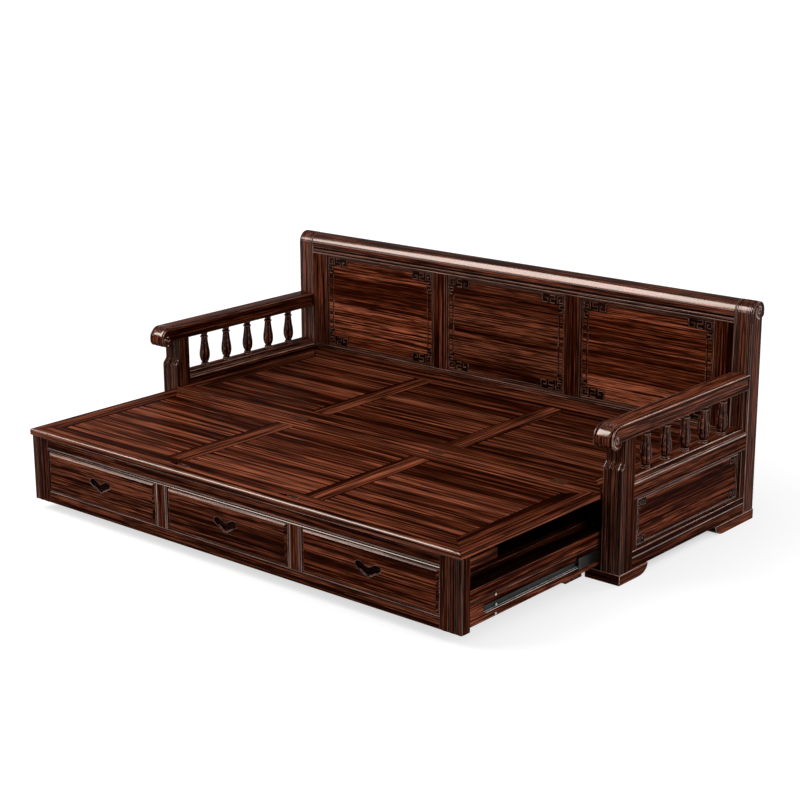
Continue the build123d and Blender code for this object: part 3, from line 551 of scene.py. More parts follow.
# Along the flank steps, the quirks take the near-black tone as painted shade and the lip bead takes the pale tone as
# painted highlight.
rail_flank = [(0, 14), (0.3, 5), (0.8, 4), (1.5, 2.5), (1.8, 0.8, PAINTED_SHADE), (0, 1.4, PAINTED_SHADE), (-2.2, 0.8, PAINTED_SHADE),
              (-1.3, 0.9), (-0.7, 1.6, DIM_PAINTED_HIGHLIGHT), (0, 1.8, PAINTED_HIGHLIGHT), (0.7, 1.6, PAINTED_HIGHLIGHT), (1.3, 1.0, PAINTED_HIGHLIGHT), (1.6, 0.4),
              (2.6, 0), (0.7, -2.0, PAINTED_SHADE), (1.3, 0, PAINTED_SHADE), (0.7, 2.0, PAINTED_SHADE), (1.2, 0), (0.8, -1.8, PAINTED_SHADE)]
for hand, side in (("left", -1), ("right", 1)):
    low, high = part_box("handrail_" + hand)
    corners = [(high.y / MM, high.z / MM), (low.y / MM, high.z / MM), (low.y / MM, low.z / MM), (-83, low.z / MM),
               (-83, 502), (high.y / MM, 502)]
    rail = bmesh.new()
    face = outline(rail, corners, {1: (46, 10), 2: (25, 8), 3: (14, 4)}, 0.0)
    broadened(rail, face, 7.4, rail_flank)
    cut_at(rail, 1, [-0.0805])
    rail.normal_update()
    # The scroll nose's faces turned up to the key lamp take the lighter lacquered tone, a painted highlight. The inner
    # lip is dimmed to the softer pale tone.
    for flank in rail.faces:
        centre = flank.calc_center_median()
        if abs(flank.normal.x) < 0.5 and flank.normal.z > 0.36 and centre.y < -0.0855 and flank.material_index != PAINTED_SHADE:
            flank.material_index = GLOSS_PAINTED_HIGHLIGHT
        elif flank.material_index == PAINTED_HIGHLIGHT and centre.x * side < 0:
            flank.material_index = DIM_PAINTED_HIGHLIGHT
    bmesh.ops.translate(rail, verts=rail.verts, vec=((low.x + high.x) / 2, 0, 0))
    for out in (-1, 1):
        volute(rail, ((low.x + high.x) / 2 + out * 37.6 * MM, -0.109, 0.508), 20.0, 3.8, out, -pi / 2, -1, 6, 0.74)
    piece(rail, f"handrail_{hand}_scrolled", striped_wood(f"handrail_{hand}", "y", 17.5 + side * 1.3, 1.25, 0.02, 0.26), "wood_deep",
          "frame", "handrail_" + hand, crease=40, painted_highlight=(1e8, 1e9), ends="wood_upright")

# ---------------------------------------------------------------- back posts
# The uprights at the ends of the back, which carry the arms' rear ends. Reeds run up the front and
# wrap over the roll at the top, and a volute is carved on each outer end face.
reed = [(1.1, 0.5), (0, 0.7), (-1.1, 0.5), (0, 5.2)]
post_flank = [(0, 3.0), *reed, *reed[:3], (0, 4.2), (3.0, 0.6), (0, 1.2), (-2.2, 0.5), (-0.8, 0.9), (0, 2.8), (0.8, 0.9),
              (2.2, 0.5), (0, 1.2), (-2.0, 0.5), (-0.8, 0.9), (0, 2.4), (0.8, 1.0), (1.4, 0.8)]
for hand, side in (("left", -1), ("right", 1)):
    low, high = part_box("back_post_" + hand)
    rear = 801.0
    corners = [(low.y / MM, low.z / MM), (rear, low.z / MM), (rear, 756), (high.y / MM, 756), (high.y / MM, high.z / MM),
               (low.y / MM, high.z / MM)]
    post = bmesh.new()
    face = outline(post, corners, {3: (12.8, 5), 4: (34.5, 10), 5: (44.5, 12)}, 0.0)
    half = sum(rise for inset, rise in post_flank)
    broadened(post, face, (high.x - low.x) / MM - 2 * half, post_flank)
    cut_at(post, 2, [0.742])
    post.normal_update()
    # On the roll, faces turned up and forwards take the lighter lacquered tone as painted highlight. The sharp rings
    # near the ends take the pale tone, also a painted highlight.
    for flank in post.faces:
        out = flank.calc_center_median().x * side / MM
        if out > 34 and flank.calc_center_median().z > 0.742 and flank.normal.y < 0.5 and flank.material_index != PAINTED_SHADE:
            flank.material_index = GLOSS_PAINTED_HIGHLIGHT if flank.normal.z > 0.12 and abs(flank.normal.x) < 0.9 else flank.material_index
        elif abs(out) > 30 and bend(flank) > 110:
            flank.material_index = PAINTED_HIGHLIGHT
        elif abs(flank.normal.x) < 0.4 and flank.normal.y < -0.2 and flank.normal.z > 0.12 and flank.calc_center_median().z > 0.765:
            flank.material_index = GLOSS_PAINTED_HIGHLIGHT
    bmesh.ops.translate(post, verts=post.verts, vec=((low.x + high.x) / 2, 0, 0))
    volute(post, (side * 1.0990, 0.779, 0.782), 26.0, 3.8, side, -pi / 2, -1, 7, 0.76)
    piece(post, f"back_post_{hand}_reeded", striped_wood(f"back_post_{hand}", "z", 20.0 + side, 1.0, 0.02, 0.26), "wood_upright",
          "frame", "back_post_" + hand, crease=40, arris=DIM_PAINTED_HIGHLIGHT, ends="wood_deep")

# ---------------------------------------------------------------- crest rail
# The heavy top rail of the back between the posts, with a full roll along its top, a groove under the
# roll and a bead at its lower edge. It is planed from one length and tenoned into the posts.


def length_of(bm, corners, rounds, ends):
    """A rail drawn along X from its side view."""
    face = outline(bm, corners, rounds, ends[0])
    made = bmesh.ops.extrude_face_region(bm, geom=[face])["geom"]
    moved = [part for part in made if isinstance(part, bmesh.types.BMVert)]
    bmesh.ops.translate(bm, verts=moved, vec=(ends[1] - ends[0], 0, 0))
    return bm


low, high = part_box("crest_rail")
front, top = low.y / MM, high.z / MM
crest = length_of(bmesh.new(), [
    (789, 735), (789, 756), (814, 756), (814, top), (front, top), (front, 762), (front + 6, 759), (front + 6, 753),
    (front, 753), (front, 744.5), (front + 4, 743.5), (front + 4, 740), (front, 740), (front, 735)],
    {2: (12.8, 5), 3: (34.5, 10), 4: (44.5, 12), 5: (2, 3), 8: (3.0, 4), 9: (3.0, 4), 12: (1.6, 3), 13: (1.6, 3)},
    (low.x, high.x))
crest.normal_update()
# Roll faces turned up and forwards take the lighter lacquered tone, a painted highlight where the key lamp glints as a
# band.
for face in crest.faces:
    if face.calc_center_median().z > 0.764 and face.normal.z > 0.10 and face.normal.y < 0.5 and abs(face.normal.x) < 0.5:
        face.material_index = GLOSS_PAINTED_HIGHLIGHT
piece(crest, "crest_rail_rolled", striped_wood("crest_rail", "x", 23.0, 1.3, 0.02, 0.26), "wood_long", "frame",
      "crest_rail", crease=35)

# ---------------------------------------------------------------- back frame
# Stiles, muntins and bottom rail that hold the three back panels. Grooves beside each edge leave a
# small bead next to the panel, and the rail has two beads along its top.
frame_bead = [(0, 3.2), (0.7, 0.8), (2.5, 0), (4.3, 0.8), (5.0, 3.0), (7.0, 3.0), (7.8, 0.5), (9.6, 0)]
low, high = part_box("back_rail")
rail = solid(low, high)
ploughed(rail, 1, low.y, -1, 2, [*frame_bead, (12, 0.6), (12.8, 2.8), (14.6, 2.8), (15.4, 0.5), (17, 0)], high.z, -1)
piece(rail, "back_rail_beaded", striped_wood("back_rail", "x", 25.0), "wood_long", "frame", "back_rail", arris=DIM_PAINTED_HIGHLIGHT)
bars = {"back_stiles": (0.943, 1.023, False), "back_muntins": (0.289, 0.365, True)}
for node, (near, far, both) in bars.items():
    low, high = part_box(node)
    made = []
    for side in (-1, 1):
        ends = sorted((side * near, side * far))
        bar = solid(Vector((ends[0], low.y, low.z)), Vector((ends[1], high.y, high.z)))
        wide = (far - near) / MM
        moulding = mirrored(frame_bead, wide) if both else [*frame_bead, (wide - 22, 0), (wide - 20.6, 2.6),
                                                            (wide - 18.6, 2.6), (wide - 17, 0)]
        ploughed(bar, 1, low.y, -1, 0, moulding, side * near, side)
        made.append(bar)
    piece(joined(made), node + "_beaded", striped_wood(node, "z", 27.0 + near, light=1.05), "wood_upright", "frame", node,
          arris=DIM_PAINTED_HIGHLIGHT)

# ---------------------------------------------------------------- back panels
# Three floating boards with matched stripes. Each has a bead round its edge, key frets of raised
# fillets in the corners joined along top and bottom, and an incised line down both sides.
unit = 5.7
for number, place in enumerate(("left", "centre", "right")):
    node = "back_panel_" + place
    low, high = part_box(node)
    inset = 9.5 * MM
    x_span, z_span = (low.x + inset, high.x - inset), (low.z + inset, high.z - inset)
    board = solid(Vector((x_span[0], low.y, z_span[0])), Vector((x_span[1], high.y, z_span[1])))
    wide, tall = x_span[1] - x_span[0], z_span[1] - z_span[0]
    line = 4.4 * unit
    stop = 14.6 * unit * MM
    cut_at(board, 2, [z_span[0] + stop, z_span[1] - stop])
    for start, way in ((x_span[0], 1), (x_span[1], -1)):
        ploughed(board, 1, low.y, -1, 0, [(line - 1.9, 0), (line - 1.3, 2.6), (line + 1.3, 2.6), (line + 1.9, 0)], start, way,
                 (2, z_span[0] + stop - 1e-6, z_span[1] - stop + 1e-6))
    out = (low.y - MM, low.y + MM)
    blocks = []
    for x_limits in ((x_span[0] + unit * MM, x_span[0] + 19.6 * unit * MM), (x_span[1] - 19.6 * unit * MM, x_span[1] - unit * MM)):
        for z_limits in ((z_span[0] + unit * MM, z_span[0] + 7.8 * unit * MM), (z_span[1] - 7.8 * unit * MM, z_span[1] - unit * MM)):
            blocks.append(((0, *x_limits), (1, *out), (2, *z_limits)))
    for x_limits in ((x_span[0] + unit * MM, x_span[0] + 5.5 * unit * MM), (x_span[1] - 5.5 * unit * MM, x_span[1] - unit * MM)):
        for z_limits in ((z_span[0] + 7 * unit * MM, z_span[0] + 13.4 * unit * MM), (z_span[1] - 13.4 * unit * MM, z_span[1] - 7 * unit * MM)):
            blocks.append(((0, *x_limits), (1, *out), (2, *z_limits)))
    # The corner grounds between the fillets take the near-black tone as painted shade, and the fillets take the dim
    # pale tone as a softer painted highlight.
    shade_painted_grounds(board, blocks)
    half = wide / 2 / MM / unit
    motifs = [
        [(0.7, 0.7), (half, 0.7)],
        [(0.7, 0.7), (0.7, tall / 2 / MM / unit)],
        scroll_key,
        [(12.4, 1.9), (8.5, 1.9), (8.5, 4.3), (12.3, 4.3), (12.3, 7.0), (8.5, 7.0)],
        [(16.6, 4.2), (14.4, 4.2), (14.4, 7.0), (18.8, 7.0), (18.8, 1.9), (half, 1.9)],
        [(1.9, 8.2), (4.7, 8.2), (4.7, 10.4), (1.9, 10.4), (1.9, 12.8), (4.4, 12.8)],
    ]
    fretted(board, motifs, unit, 4.8, DIM_PAINTED_HIGHLIGHT, Vector((x_span[0], low.y, z_span[1])), (wide, tall), Vector((1, 0, 0)),
            Vector((0, 0, -1)), Vector((0, -1, 0)))
    piece(board, node + "_fretted", striped_wood(node, "x", 30.0 + 2.3 * number, (1.95, 1.10, 2.1)[number]), "wood_long",
          "frame", node, arris=DIM_PAINTED_HIGHLIGHT)

# ---------------------------------------------------------------- rear skirt and seat bearers
# The low board between the back posts, and the cross bars, joists and ledgers that carry the seat.
# Plain planed timber with eased arrises, half-lapped and screwed.
piece(eased(copied("rear_skirt"), 1.2), "rear_skirt_wood", striped_wood("rear_skirt", "x", 34.0), "wood_long", "frame",
      "rear_skirt")
piece(eased(copied("seat_bearers"), 1.2), "seat_bearers_wood", striped_wood("seat_bearer", "x", 35.0), "wood_long",
      "frame", "seat_bearers")

# ---------------------------------------------------------------- fixed seat deck
# Three flush floating panels in a mitred frame with two muntins. Every arris is eased, and the eased strips bend
# sharply enough to take the near-black tone, so a line of painted shade shows round each board.
deck_finish = {
    "_front_rail": ("x", "wood_long"), "_rear_rail": ("x", "wood_long"), "_end_rails": ("y", "wood_deep"),
    "_muntins": ("y", "wood_deep"), "_panels": ("x", "wood_long"),
}
for number, (part, (grain, slot)) in enumerate(deck_finish.items()):
    wood = striped_wood("seat" + part, grain, 37.0 + 1.9 * number, light=1.14, fine=0.42)
    piece(eased(copied("seat" + part), 2.6, 2), "seat" + part + "_eased", wood, slot, "frame", "seat" + part,
          painted_highlight=(220, 220))

# ---------------------------------------------------------------- fold-over board
# The same framed deck hinged at the seam. Its outer edge is rounded above and below as a nosing, and
# two half-moon finger pulls are cut through the front rail.
for number, (part, (grain, slot)) in enumerate(deck_finish.items()):
    deck = copied("board" + part)
    low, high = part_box("board" + part)

    def outer_edge(edge, height, low=low, part=part):
        level = all(abs(vert.co.z - height) < 1e-5 for vert in edge.verts)
        reach = (1, -low.y) if part == "_front_rail" else (0, 1.018)
        return level and all(abs(abs(vert.co[reach[0]]) - reach[1]) < 1e-4 for vert in edge.verts)

    if part in ("_front_rail", "_end_rails", "_rear_rail"):
        eased(deck, 7.0, 5, lambda edge: outer_edge(edge, 0.312) and part != "_rear_rail")
        eased(deck, 4.0, 3, lambda edge: outer_edge(edge, 0.287) and part != "_rear_rail")
        deck.normal_update()
        # On the front rail, nosing faces turned up to the key lamp take the lighter lacquered tone, a painted
        # highlight. In the finger pulls, faces turned right take the near-black tone as painted shade and the others
        # take the pale tone as painted highlight. Elsewhere the sharpest eased strips take the painted shade, as on the
        # deck.
        for face in deck.faces:
            if part == "_front_rail" and 0.36 < face.normal.z < 0.74 and face.normal.y < -0.3:
                face.material_index = GLOSS_PAINTED_HIGHLIGHT
            elif part == "_front_rail" and abs(face.normal.z) < 0.5 and face.calc_center_median().y > low.y + 6 * MM and (
                    face.normal.y < -0.1 and abs(abs(face.calc_center_median().x) - 0.261) < 0.08):
                face.material_index = PAINTED_SHADE if face.normal.x > 0.3 else PAINTED_HIGHLIGHT
    wood = striped_wood("board" + part, grain, 48.0 + 1.9 * number, light=1.32, fine=0.42)
    piece(eased(deck, 2.6, 2), "board" + part + "_eased", wood, slot, "board", "board" + part,
          painted_highlight=(90 if part == "_front_rail" else 220, 220))

# ---------------------------------------------------------------- base front
# The drawer opening frame of the pull-out base: two posts, top and bottom rails and two dividers. A
# cock bead is worked round each opening and the end posts are reeded.
cock_bead = [(0, 2.4), (0.5, 0.6), (1.9, 0), (3.3, 0.6), (3.8, 3.0), (6.4, 3.0), (7.0, 0.7), (13.2, 0)]
low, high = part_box("base_top_rail")
rail = solid(low, high)
ploughed(rail, 1, low.y, -1, 2, [(0, 2.4), (0.4, 0.6), (1.3, 0), (3.3, 1.2), (3.7, 3.4), (6.8, 3.4), (7.4, 0.7), (13.2, 0)],
         low.z)
rail.normal_update()
# The cock bead's lower arris, where it faces up and forwards, takes the lighter lacquered tone as painted highlight.
for face in rail.faces:
    if 0.4 < face.normal.z < 0.7 and face.calc_center_median().z < low.z + 5 * MM:
        face.material_index = GLOSS_PAINTED_HIGHLIGHT
piece(rail, "base_top_rail_beaded", striped_wood("base_top_rail", "x", 60.0), "wood_long", "base", "base_top_rail")
low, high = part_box("base_bottom_rail")
rail = solid(low, high)
ploughed(rail, 1, low.y, -1, 2, cock_bead, high.z, -1)
eased(rail, 2.0, 3, lambda edge: all(abs(vert.co.z - low.z) < 1e-6 for vert in edge.verts))
piece(rail, "base_bottom_rail_beaded", striped_wood("base_bottom_rail", "x", 62.0), "wood_long", "base",
      "base_bottom_rail")
low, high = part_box("base_dividers")
made = []
for centre in (-0.32, 0.32):
    near, far = (low.x, low.x + 62 * MM) if centre < 0 else (high.x - 62 * MM, high.x)
    bar = solid(Vector((near, low.y, low.z)), Vector((far, high.y, high.z)))
    ploughed(bar, 1, low.y, -1, 0, mirrored(cock_bead, 62), near)
    made.append(bar)
piece(joined(made), "base_dividers_beaded", striped_wood("base_divider", "z", 64.0, light=1.1), "wood_upright", "base",
      "base_dividers")
low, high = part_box("base_posts")
reeds = [*cock_bead, (34, 0), (35.6, 0.5), (36.4, 2.8), (38, 2.8), (38.8, 0.5), (40.4, 0), (60, 0), (61.6, 0.5),
         (62.4, 2.8), (64, 2.8), (64.8, 0.6), (67, 0), (69.2, 0.6), (70, 2.8), (71.6, 2.8), (72.4, 0.6), (75, 0), (82, 0),
         (85, 0.8), (87, 2.2), (88, 4.5)]
made = []
for side in (-1, 1):
    ends = sorted((side * high.x, side * (high.x - 88 * MM)))
    bar = solid(Vector((ends[0], low.y, low.z)), Vector((ends[1], high.y, high.z)))
    ploughed(bar, 1, low.y, -1, 0, reeds, side * (high.x - 88 * MM), side)
    ploughed(bar, 0, side * high.x, side, 1, [(4.5, 0), (7.4, 0.8), (8.6, 2.8), (10.2, 2.8), (11.4, 0)], low.y)
    made.append(bar)
piece(joined(made), "base_posts_reeded", striped_wood("base_post", "z", 66.0, 0.9), "wood_upright", "base", "base_posts",
      arris=DIM_PAINTED_HIGHLIGHT)

# ---------------------------------------------------------------- base carcase
# Side rails with a line along them, drawer guides with their ledges, the rear rail, thin boards under
# the drawers and two flat sleepers that the rollers hang from. All plain planed timber.
# The last column scales each timber's tone. The drawer guides, rear rail and bottom boards inside the base are darkened
# to 0.4 as painted shade, the sleepers sit at 0.8, and the side rails are lightened to 1.6.
carcase = {
    "base_side_rails": ("y", "wood_deep", 68.0, 1.6), "drawer_guides": ("y", "wood_deep", 70.0, 0.4),
    "base_rear_rail": ("x", "wood_long", 72.0, 0.4), "base_sleepers": ("x", "wood_long", 74.0, 0.8),
    "base_bottom_boards": ("x", "wood_long", 76.0, 0.4),
}
for node, (grain, slot, seed, light) in carcase.items():
    timber = eased(copied(node), 1.4, 2)
    timber.normal_update()
    # The side rails' top faces and inner faces, under the board, take the near-black tone as painted shade.
    for face in timber.faces:
        if node == "base_side_rails" and (face.normal.z > 0.9 or face.normal.x * face.calc_center_median().x < -0.5):
            face.material_index = PAINTED_SHADE
    piece(timber, node + "_eased", striped_wood(node, grain, seed, light), slot, "base", node, arris=DIM_PAINTED_HIGHLIGHT)

# ---------------------------------------------------------------- drawers
# Three inset fronts with chamfered margins and a carved two-lobed finger pull, each on a plain pale
# box with thin sides and a thin bottom.
pull = [(0, 16.5), (6, 17.3), (13, 20.5), (20, 25.3), (28, 29.2), (37, 30.5), (46, 29.4), (52.5, 25.6), (55.4, 19.5),
        (55.4, 13.5), (52.8, 8.6), (47, 4.2), (36, -1.8), (24, -8.2), (12, -14.8), (4, -19.6), (0, -21.5)]
side_wood = striped_wood("drawer_side_wood", "y", 90.0, 1.9, 0.1, 0.5)
back_wood = striped_wood("drawer_back_wood", "x", 93.0, 1.9, 0.1, 0.5)
# A darkened copy of the fronts' wood for the pull's floor: painted shade.
painted_shade_pull_ground = striped_wood("painted_shade_pull_ground", "x", 95.0, 0.36)
for number, place in enumerate(("left", "centre", "right")):
    node = "drawer_front_" + place
    low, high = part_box(node)
    front = solid(Vector((low.x, low.y + 7.0 * MM, low.z)), high)
    face = [f for f in front.faces if f.normal.y < -0.9]
    carved(front, face, [(2.8, 0.8), (8.0, 6.2)])
    front.normal_update()
    # The margin chamfer's lower part takes the pale tone as painted highlight, and its top strip takes the near-black
    # tone as painted shade of the gap.
    for bevel in front.faces:
        if bevel.normal.z > 0.1 and -0.99 < bevel.normal.y < -0.5:
            bevel.material_index = PAINTED_HIGHLIGHT if bevel.calc_center_median().z < high.z - 2.9 * MM else PAINTED_SHADE
    rim = face[0].edges[:]
    bmesh.ops.delete(front, geom=face, context="FACES_ONLY")
    middle = (low.x + high.x) / 2
    lobes = [*pull, *((-x, z) for x, z in pull[-2:0:-1])]
    verts = [front.verts.new((middle + x * MM, low.y, (157.5 + z) * MM)) for x, z in lobes]
    lines = [front.edges.new(ends) for ends in zip(verts, verts[1:] + verts[:1])]
    bmesh.ops.triangle_fill(front, use_beauty=True, edges=rim + lines, normal=(0, -1, 0))
    recess = front.faces.new(verts)
    recess.normal_update()
    if recess.normal.y > 0:
        recess.normal_flip()
    # The pull's recess: its rim and a lower ledge take the pale tone as painted highlight, and its walls take the
    # near-black tone as painted shade. Its floor gets a darkened copy of the wood, also painted shade. The ledge in the
    # upper part is darkened as painted shade too.
    recess.material_index = PAINTED_SHADE
    carved(front, [recess], [(1.2, -0.5, PAINTED_HIGHLIGHT), (1.9, -2.2, PAINTED_SHADE), (1.8, -0.3, PAINTED_HIGHLIGHT), (0.5, -5.6, PAINTED_SHADE)])
    recess.material_index = 5
    for ledge in front.faces:
        centre = ledge.calc_center_median()
        if ledge.material_index == PAINTED_HIGHLIGHT and 2 < (centre.y - low.y) / MM < 5 and 162 < centre.z / MM < 192:
            ledge.material_index = PAINTED_SHADE
    body = "drawer_" + place
    front = piece(front, node + "_carved", striped_wood(node, "x", 80.0 + 3.1 * number, (1.05, 1.02, 1.65)[number]), "wood_long",
                  body, node, crease=28)
    front.data.materials.append(painted_shade_pull_ground)
    box = piece(eased(copied("drawer_box_" + place), 0.8), "drawer_box_" + place + "_boards", side_wood, "wood_pale", body,
                "drawer_box_" + place)
    box.data.materials.append(back_wood)
    for polygon in box.data.polygons:
        polygon.material_index = int(abs(polygon.normal.y) > 0.5)

# ---------------------------------------------------------------- slides, screws and rollers
# Telescopic slides of rolled and zinc-plated steel at both sides of the base, pan-head screws, and
# nylon rollers on steel axles in pressed saddles under the sleepers.


def metal(name, colour, rough, seed):
    """Plated or worn metal with fine brushing and a little staining."""
    material = bpy.data.materials.new(name)
    material.use_nodes = True
    tree = material.node_tree
    shader = tree.nodes["Principled BSDF"]
    place = add_node(tree, "TexCoord").outputs["Object"]
    spot = add_node(tree, "Mapping", {"Vector": place}, {"Scale": (1, 0.06, 1), "Location": (seed, seed, seed)})
    brushed = add_node(tree, "TexNoise", {"Vector": spot.outputs[0]}, {"Scale": 900.0, "Detail": 2.0})
    stain = add_node(tree, "TexNoise", {"Vector": place}, {"Scale": 38.0, "Detail": 4.0})
    ramp = add_node(tree, "ValToRGB", {"Fac": stain.outputs[0]})
    set_ramp(ramp.color_ramp, [(0.3, tuple(c * 0.62 for c in colour)), (0.6, colour)])
    tree.links.new(ramp.outputs[0], shader.inputs["Base Color"])
    gloss = add_node(tree, "MapRange", {"Value": brushed.outputs[0]}, {"To Min": rough - 0.1, "To Max": rough + 0.12})
    tree.links.new(gloss.outputs[0], shader.inputs["Roughness"])
    relief = add_node(tree, "Bump", {"Height": brushed.outputs[0]}, {"Strength": 0.08, "Distance": 0.2 * MM})
    tree.links.new(relief.outputs[0], shader.inputs["Normal"])
    shader.inputs["Metallic"].default_value = 1.0
    return material


def nylon(name, colour):
    """Moulded nylon, slightly mottled."""
    material = metal(name, colour, 0.45, 3.0)
    material.node_tree.nodes["Principled BSDF"].inputs["Metallic"].default_value = 0.0
    return material


zinc = metal("zinc_plate", (0.070, 0.067, 0.063), 0.36, 1.0)
# The inner slides' steel is near black, painted shade inside the channel.
shade_dark_steel = metal("shade_darkened_steel", (0.028, 0.028, 0.027), 0.38, 5.0)
bright = metal("bright_steel", (0.86, 0.85, 0.83), 0.30, 2.0)
bright.node_tree.nodes["Principled BSDF"].inputs["Metallic"].default_value = 0.4
bronze = metal("dark_bronze", (0.080, 0.028, 0.014), 0.60, 4.0)
bronze.node_tree.nodes["Principled BSDF"].inputs["Metallic"].default_value = 0.1
bronze.node_tree.nodes["Principled BSDF"].inputs["Specular IOR Level"].default_value = 0.03
white_nylon = nylon("roller_nylon", (0.045, 0.043, 0.042))
for node, body, steel in (("slides_outer", "frame", zinc), ("slides_middle", "slide_middle", zinc),
                          ("slides_inner", "base", shade_dark_steel)):
    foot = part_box(node)[0].z + 3.0 * MM
    channel = copied(node)
    cut_at(channel, 2, [foot])
    made = piece(eased(channel, 0.35), node + "_rolled", steel, "slide_steel", body, node)
    made.data.materials.append(bright)
    # On the inner slides, the outward face of the lower flange takes the bright steel, a painted highlight along its
    # edge.
    for polygon in made.data.polygons:
        if node == "slides_inner" and polygon.center.z < foot and abs(polygon.normal.x) > 0.5:
            polygon.material_index = 1
for node in ("roller_brackets", "roller_axles"):
    piece(eased(copied(node), 0.6), node + "_plated", bright, "bright_steel", "base", node)
for row in ("front", "rear"):
    node = "rollers_" + row
    piece(eased(copied(node), 1.6, 3), node + "_moulded", white_nylon, "roller_nylon", node + "_body", node)
heads = copied("rail_screws")
crowns = [f for f in heads.faces if abs(f.normal.x) > 0.99 and abs(f.calc_center_median().x) > 1.0115]
carved(heads, crowns, [(-1.3, 0.0), (2.3, 0), (0.8, 0), (0.25, -1.2)])
piece(heads, "rail_screws_heads", bright, "bright_steel", "base", "rail_screws")

# ---------------------------------------------------------------- hinges
# Four butt hinges let in flush across the seam: bronze leaves with three knuckles each and a pin.
for node, body in (("hinge_leaves_fixed", "frame"), ("hinge_pins", "frame"), ("hinge_leaves_board", "board")):
    piece(eased(copied(node), 0.3), node + "_bronze", bronze, "bronze", body, node)

# ---------------------------------------------------------------- floor, lights and camera
# A pale floor whose base colour is darkened and whose glow is cut under the piece, a painted shadow; soft lamps above,
# and the eye at standing height to the front right.
bm = bmesh.new()
bmesh.ops.create_grid(bm, x_segments=1, y_segments=1, size=40.0)
mesh = bpy.data.meshes.new("floor")
bm.to_mesh(mesh)
bm.free()
floor = bpy.data.objects.new("floor", mesh)
bpy.context.scene.collection.objects.link(floor)
paper = bpy.data.materials.new("floor_paper")
paper.use_nodes = True
tree = paper.node_tree
shader = tree.nodes["Principled BSDF"]
shader.inputs["Base Color"].default_value = (0.50, 0.50, 0.50, 1)
shader.inputs["Roughness"].default_value = 0.9
shader.inputs["Specular IOR Level"].default_value = 0.0
shader.inputs["Emission Color"].default_value = (1, 1, 1, 1)
path = add_node(tree, "LightPath")
seen = add_node(tree, "Math", {0: path.outputs["Is Camera Ray"], 1: path.outputs["Is Glossy Ray"]}, operation="MAXIMUM")
seen = add_node(tree, "Math", {0: seen.outputs[0], 1: path.outputs["Is Transmission Ray"]}, operation="MAXIMUM")
reach = add_node(tree, "VectorMath", {0: add_node(tree, "TexCoord").outputs["Object"]}, operation="LENGTH")
glow = add_node(tree, "MapRange", {"Value": reach.outputs["Value"]},
                {"From Min": 1.2, "From Max": 6.0, "To Min": 0.66, "To Max": 0.98}, interpolation_type="SMOOTHSTEP")
# Inside the piece's footprint the floor's glow goes to nothing and its colour to near black: a painted shadow under the
# piece.
under = add_node(tree, "VectorMath", {0: add_node(tree, "TexCoord").outputs["Object"]}, {1: (0, -0.36, 0)}, operation="ADD")
under = add_node(tree, "VectorMath", {0: under.outputs[0]}, {1: (0.98, 2.5, 0)}, operation="MULTIPLY")
under = add_node(tree, "VectorMath", {0: under.outputs[0]}, operation="ABSOLUTE")
under = add_node(tree, "SeparateXYZ", {0: under.outputs[0]})
edge = add_node(tree, "Math", {0: under.outputs[0], 1: under.outputs[1]}, operation="MAXIMUM")
clear = add_node(tree, "MapRange", {"Value": edge.outputs[0]}, {"From Min": 0.90, "From Max": 1.06})
glow = add_node(tree, "Math", {0: glow.outputs[0], 1: clear.outputs[0]}, operation="MULTIPLY")
painted_shadow_colour = add_node(tree, "Mix", {0: clear.outputs[0]}, {6: (0.05, 0.047, 0.045, 1), 7: (0.47, 0.50, 0.525, 1)}, data_type="RGBA")
tree.links.new(painted_shadow_colour.outputs[2], shader.inputs["Base Color"])
seen = add_node(tree, "Math", {0: seen.outputs[0], 1: glow.outputs[0]}, operation="MULTIPLY")
tree.links.new(seen.outputs[0], shader.inputs["Emission Strength"])
mesh.materials.append(paper)

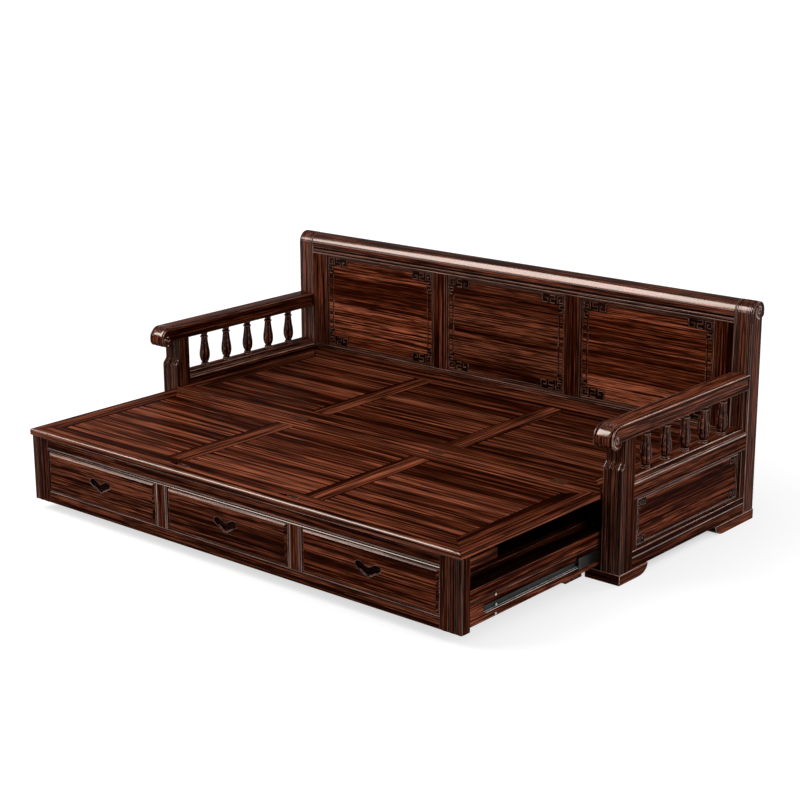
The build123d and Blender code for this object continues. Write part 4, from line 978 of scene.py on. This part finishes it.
world = bpy.data.worlds.new("studio")
bpy.context.scene.world = world
world.use_nodes = True
tree = world.node_tree
path = add_node(tree, "LightPath")
way = add_node(tree, "SeparateXYZ", {0: add_node(tree, "TexCoord").outputs["Generated"]})
dusk = add_node(tree, "MapRange", {"Value": way.outputs["Z"]},
                {"From Min": 0.05, "From Max": 0.24, "To Min": 1.0, "To Max": 0.08}, interpolation_type="SMOOTHSTEP")
mirror = add_node(tree, "Math", {0: path.outputs["Is Glossy Ray"], 1: path.outputs["Is Transmission Ray"]},
                  operation="MAXIMUM")
unseen = add_node(tree, "Mix", {0: mirror.outputs[0], 3: dusk.outputs[0]}, {2: 0.26}, data_type="FLOAT")
level = add_node(tree, "Mix", {0: path.outputs["Is Camera Ray"], 2: unseen.outputs[0]}, {3: 1.0}, data_type="FLOAT")
tree.nodes["Background"].inputs["Color"].default_value = (1, 1, 1, 1)
tree.links.new(level.outputs[0], tree.nodes["Background"].inputs["Strength"])


def lamp(name, place, aim, size, power, mirrored_in_gloss=True):
    data = bpy.data.lights.new(name, "AREA")
    data.shape = "RECTANGLE"
    data.size, data.size_y = size
    data.energy = power
    data.color = (1.0, 0.90, 0.84)
    made = bpy.data.objects.new(name, data)
    made.visible_camera = False
    made.visible_glossy = mirrored_in_gloss
    made.location = place
    made.rotation_mode = "QUATERNION"
    made.rotation_quaternion = (Vector(place) - Vector(aim)).to_track_quat("Z", "Y")
    bpy.context.scene.collection.objects.link(made)


lamp("tall_box", (-2.8, -2.8, 3.75), (0.2, 0.6, 1.0), (3.3, 3.8), 222)
lamp("overhead_box", (0, -0.2, 4.2), (0, -0.2, 0.3), (3.2, 1.8), 32, False)
lamp("side_box", (5.2, -0.6, 2.1), (1.1, 0.2, 0.4), (2.6, 2.4), 105)
lamp("rear_box", (2.5, 4.4, 2.9), (1.1, 0.2, 0.5), (2.2, 1.3), 50)

eye = bpy.data.cameras.new("eye")
eye.sensor_width = 36.0
eye.lens = 80.88
eye.clip_end = 200.0
camera = bpy.data.objects.new("eye", eye)
bpy.context.scene.collection.objects.link(camera)
yaw, pitch, roll = 0.7054, 0.2769, -0.004
ahead = Vector((-sin(yaw) * cos(pitch), cos(yaw) * cos(pitch), -sin(pitch)))
right = Vector((cos(yaw), sin(yaw), 0))
up = right.cross(ahead)
rolled_right = right * cos(roll) + up * sin(roll)
rolled_up = up * cos(roll) - right * sin(roll)
camera.matrix_world = Matrix.Translation((4.1538, -4.7749, 2.2250)) @ Matrix(
    (rolled_right, rolled_up, -ahead)).transposed().to_4x4()
bpy.context.scene.camera = camera
bpy.context.scene.view_settings.view_transform = "Standard"
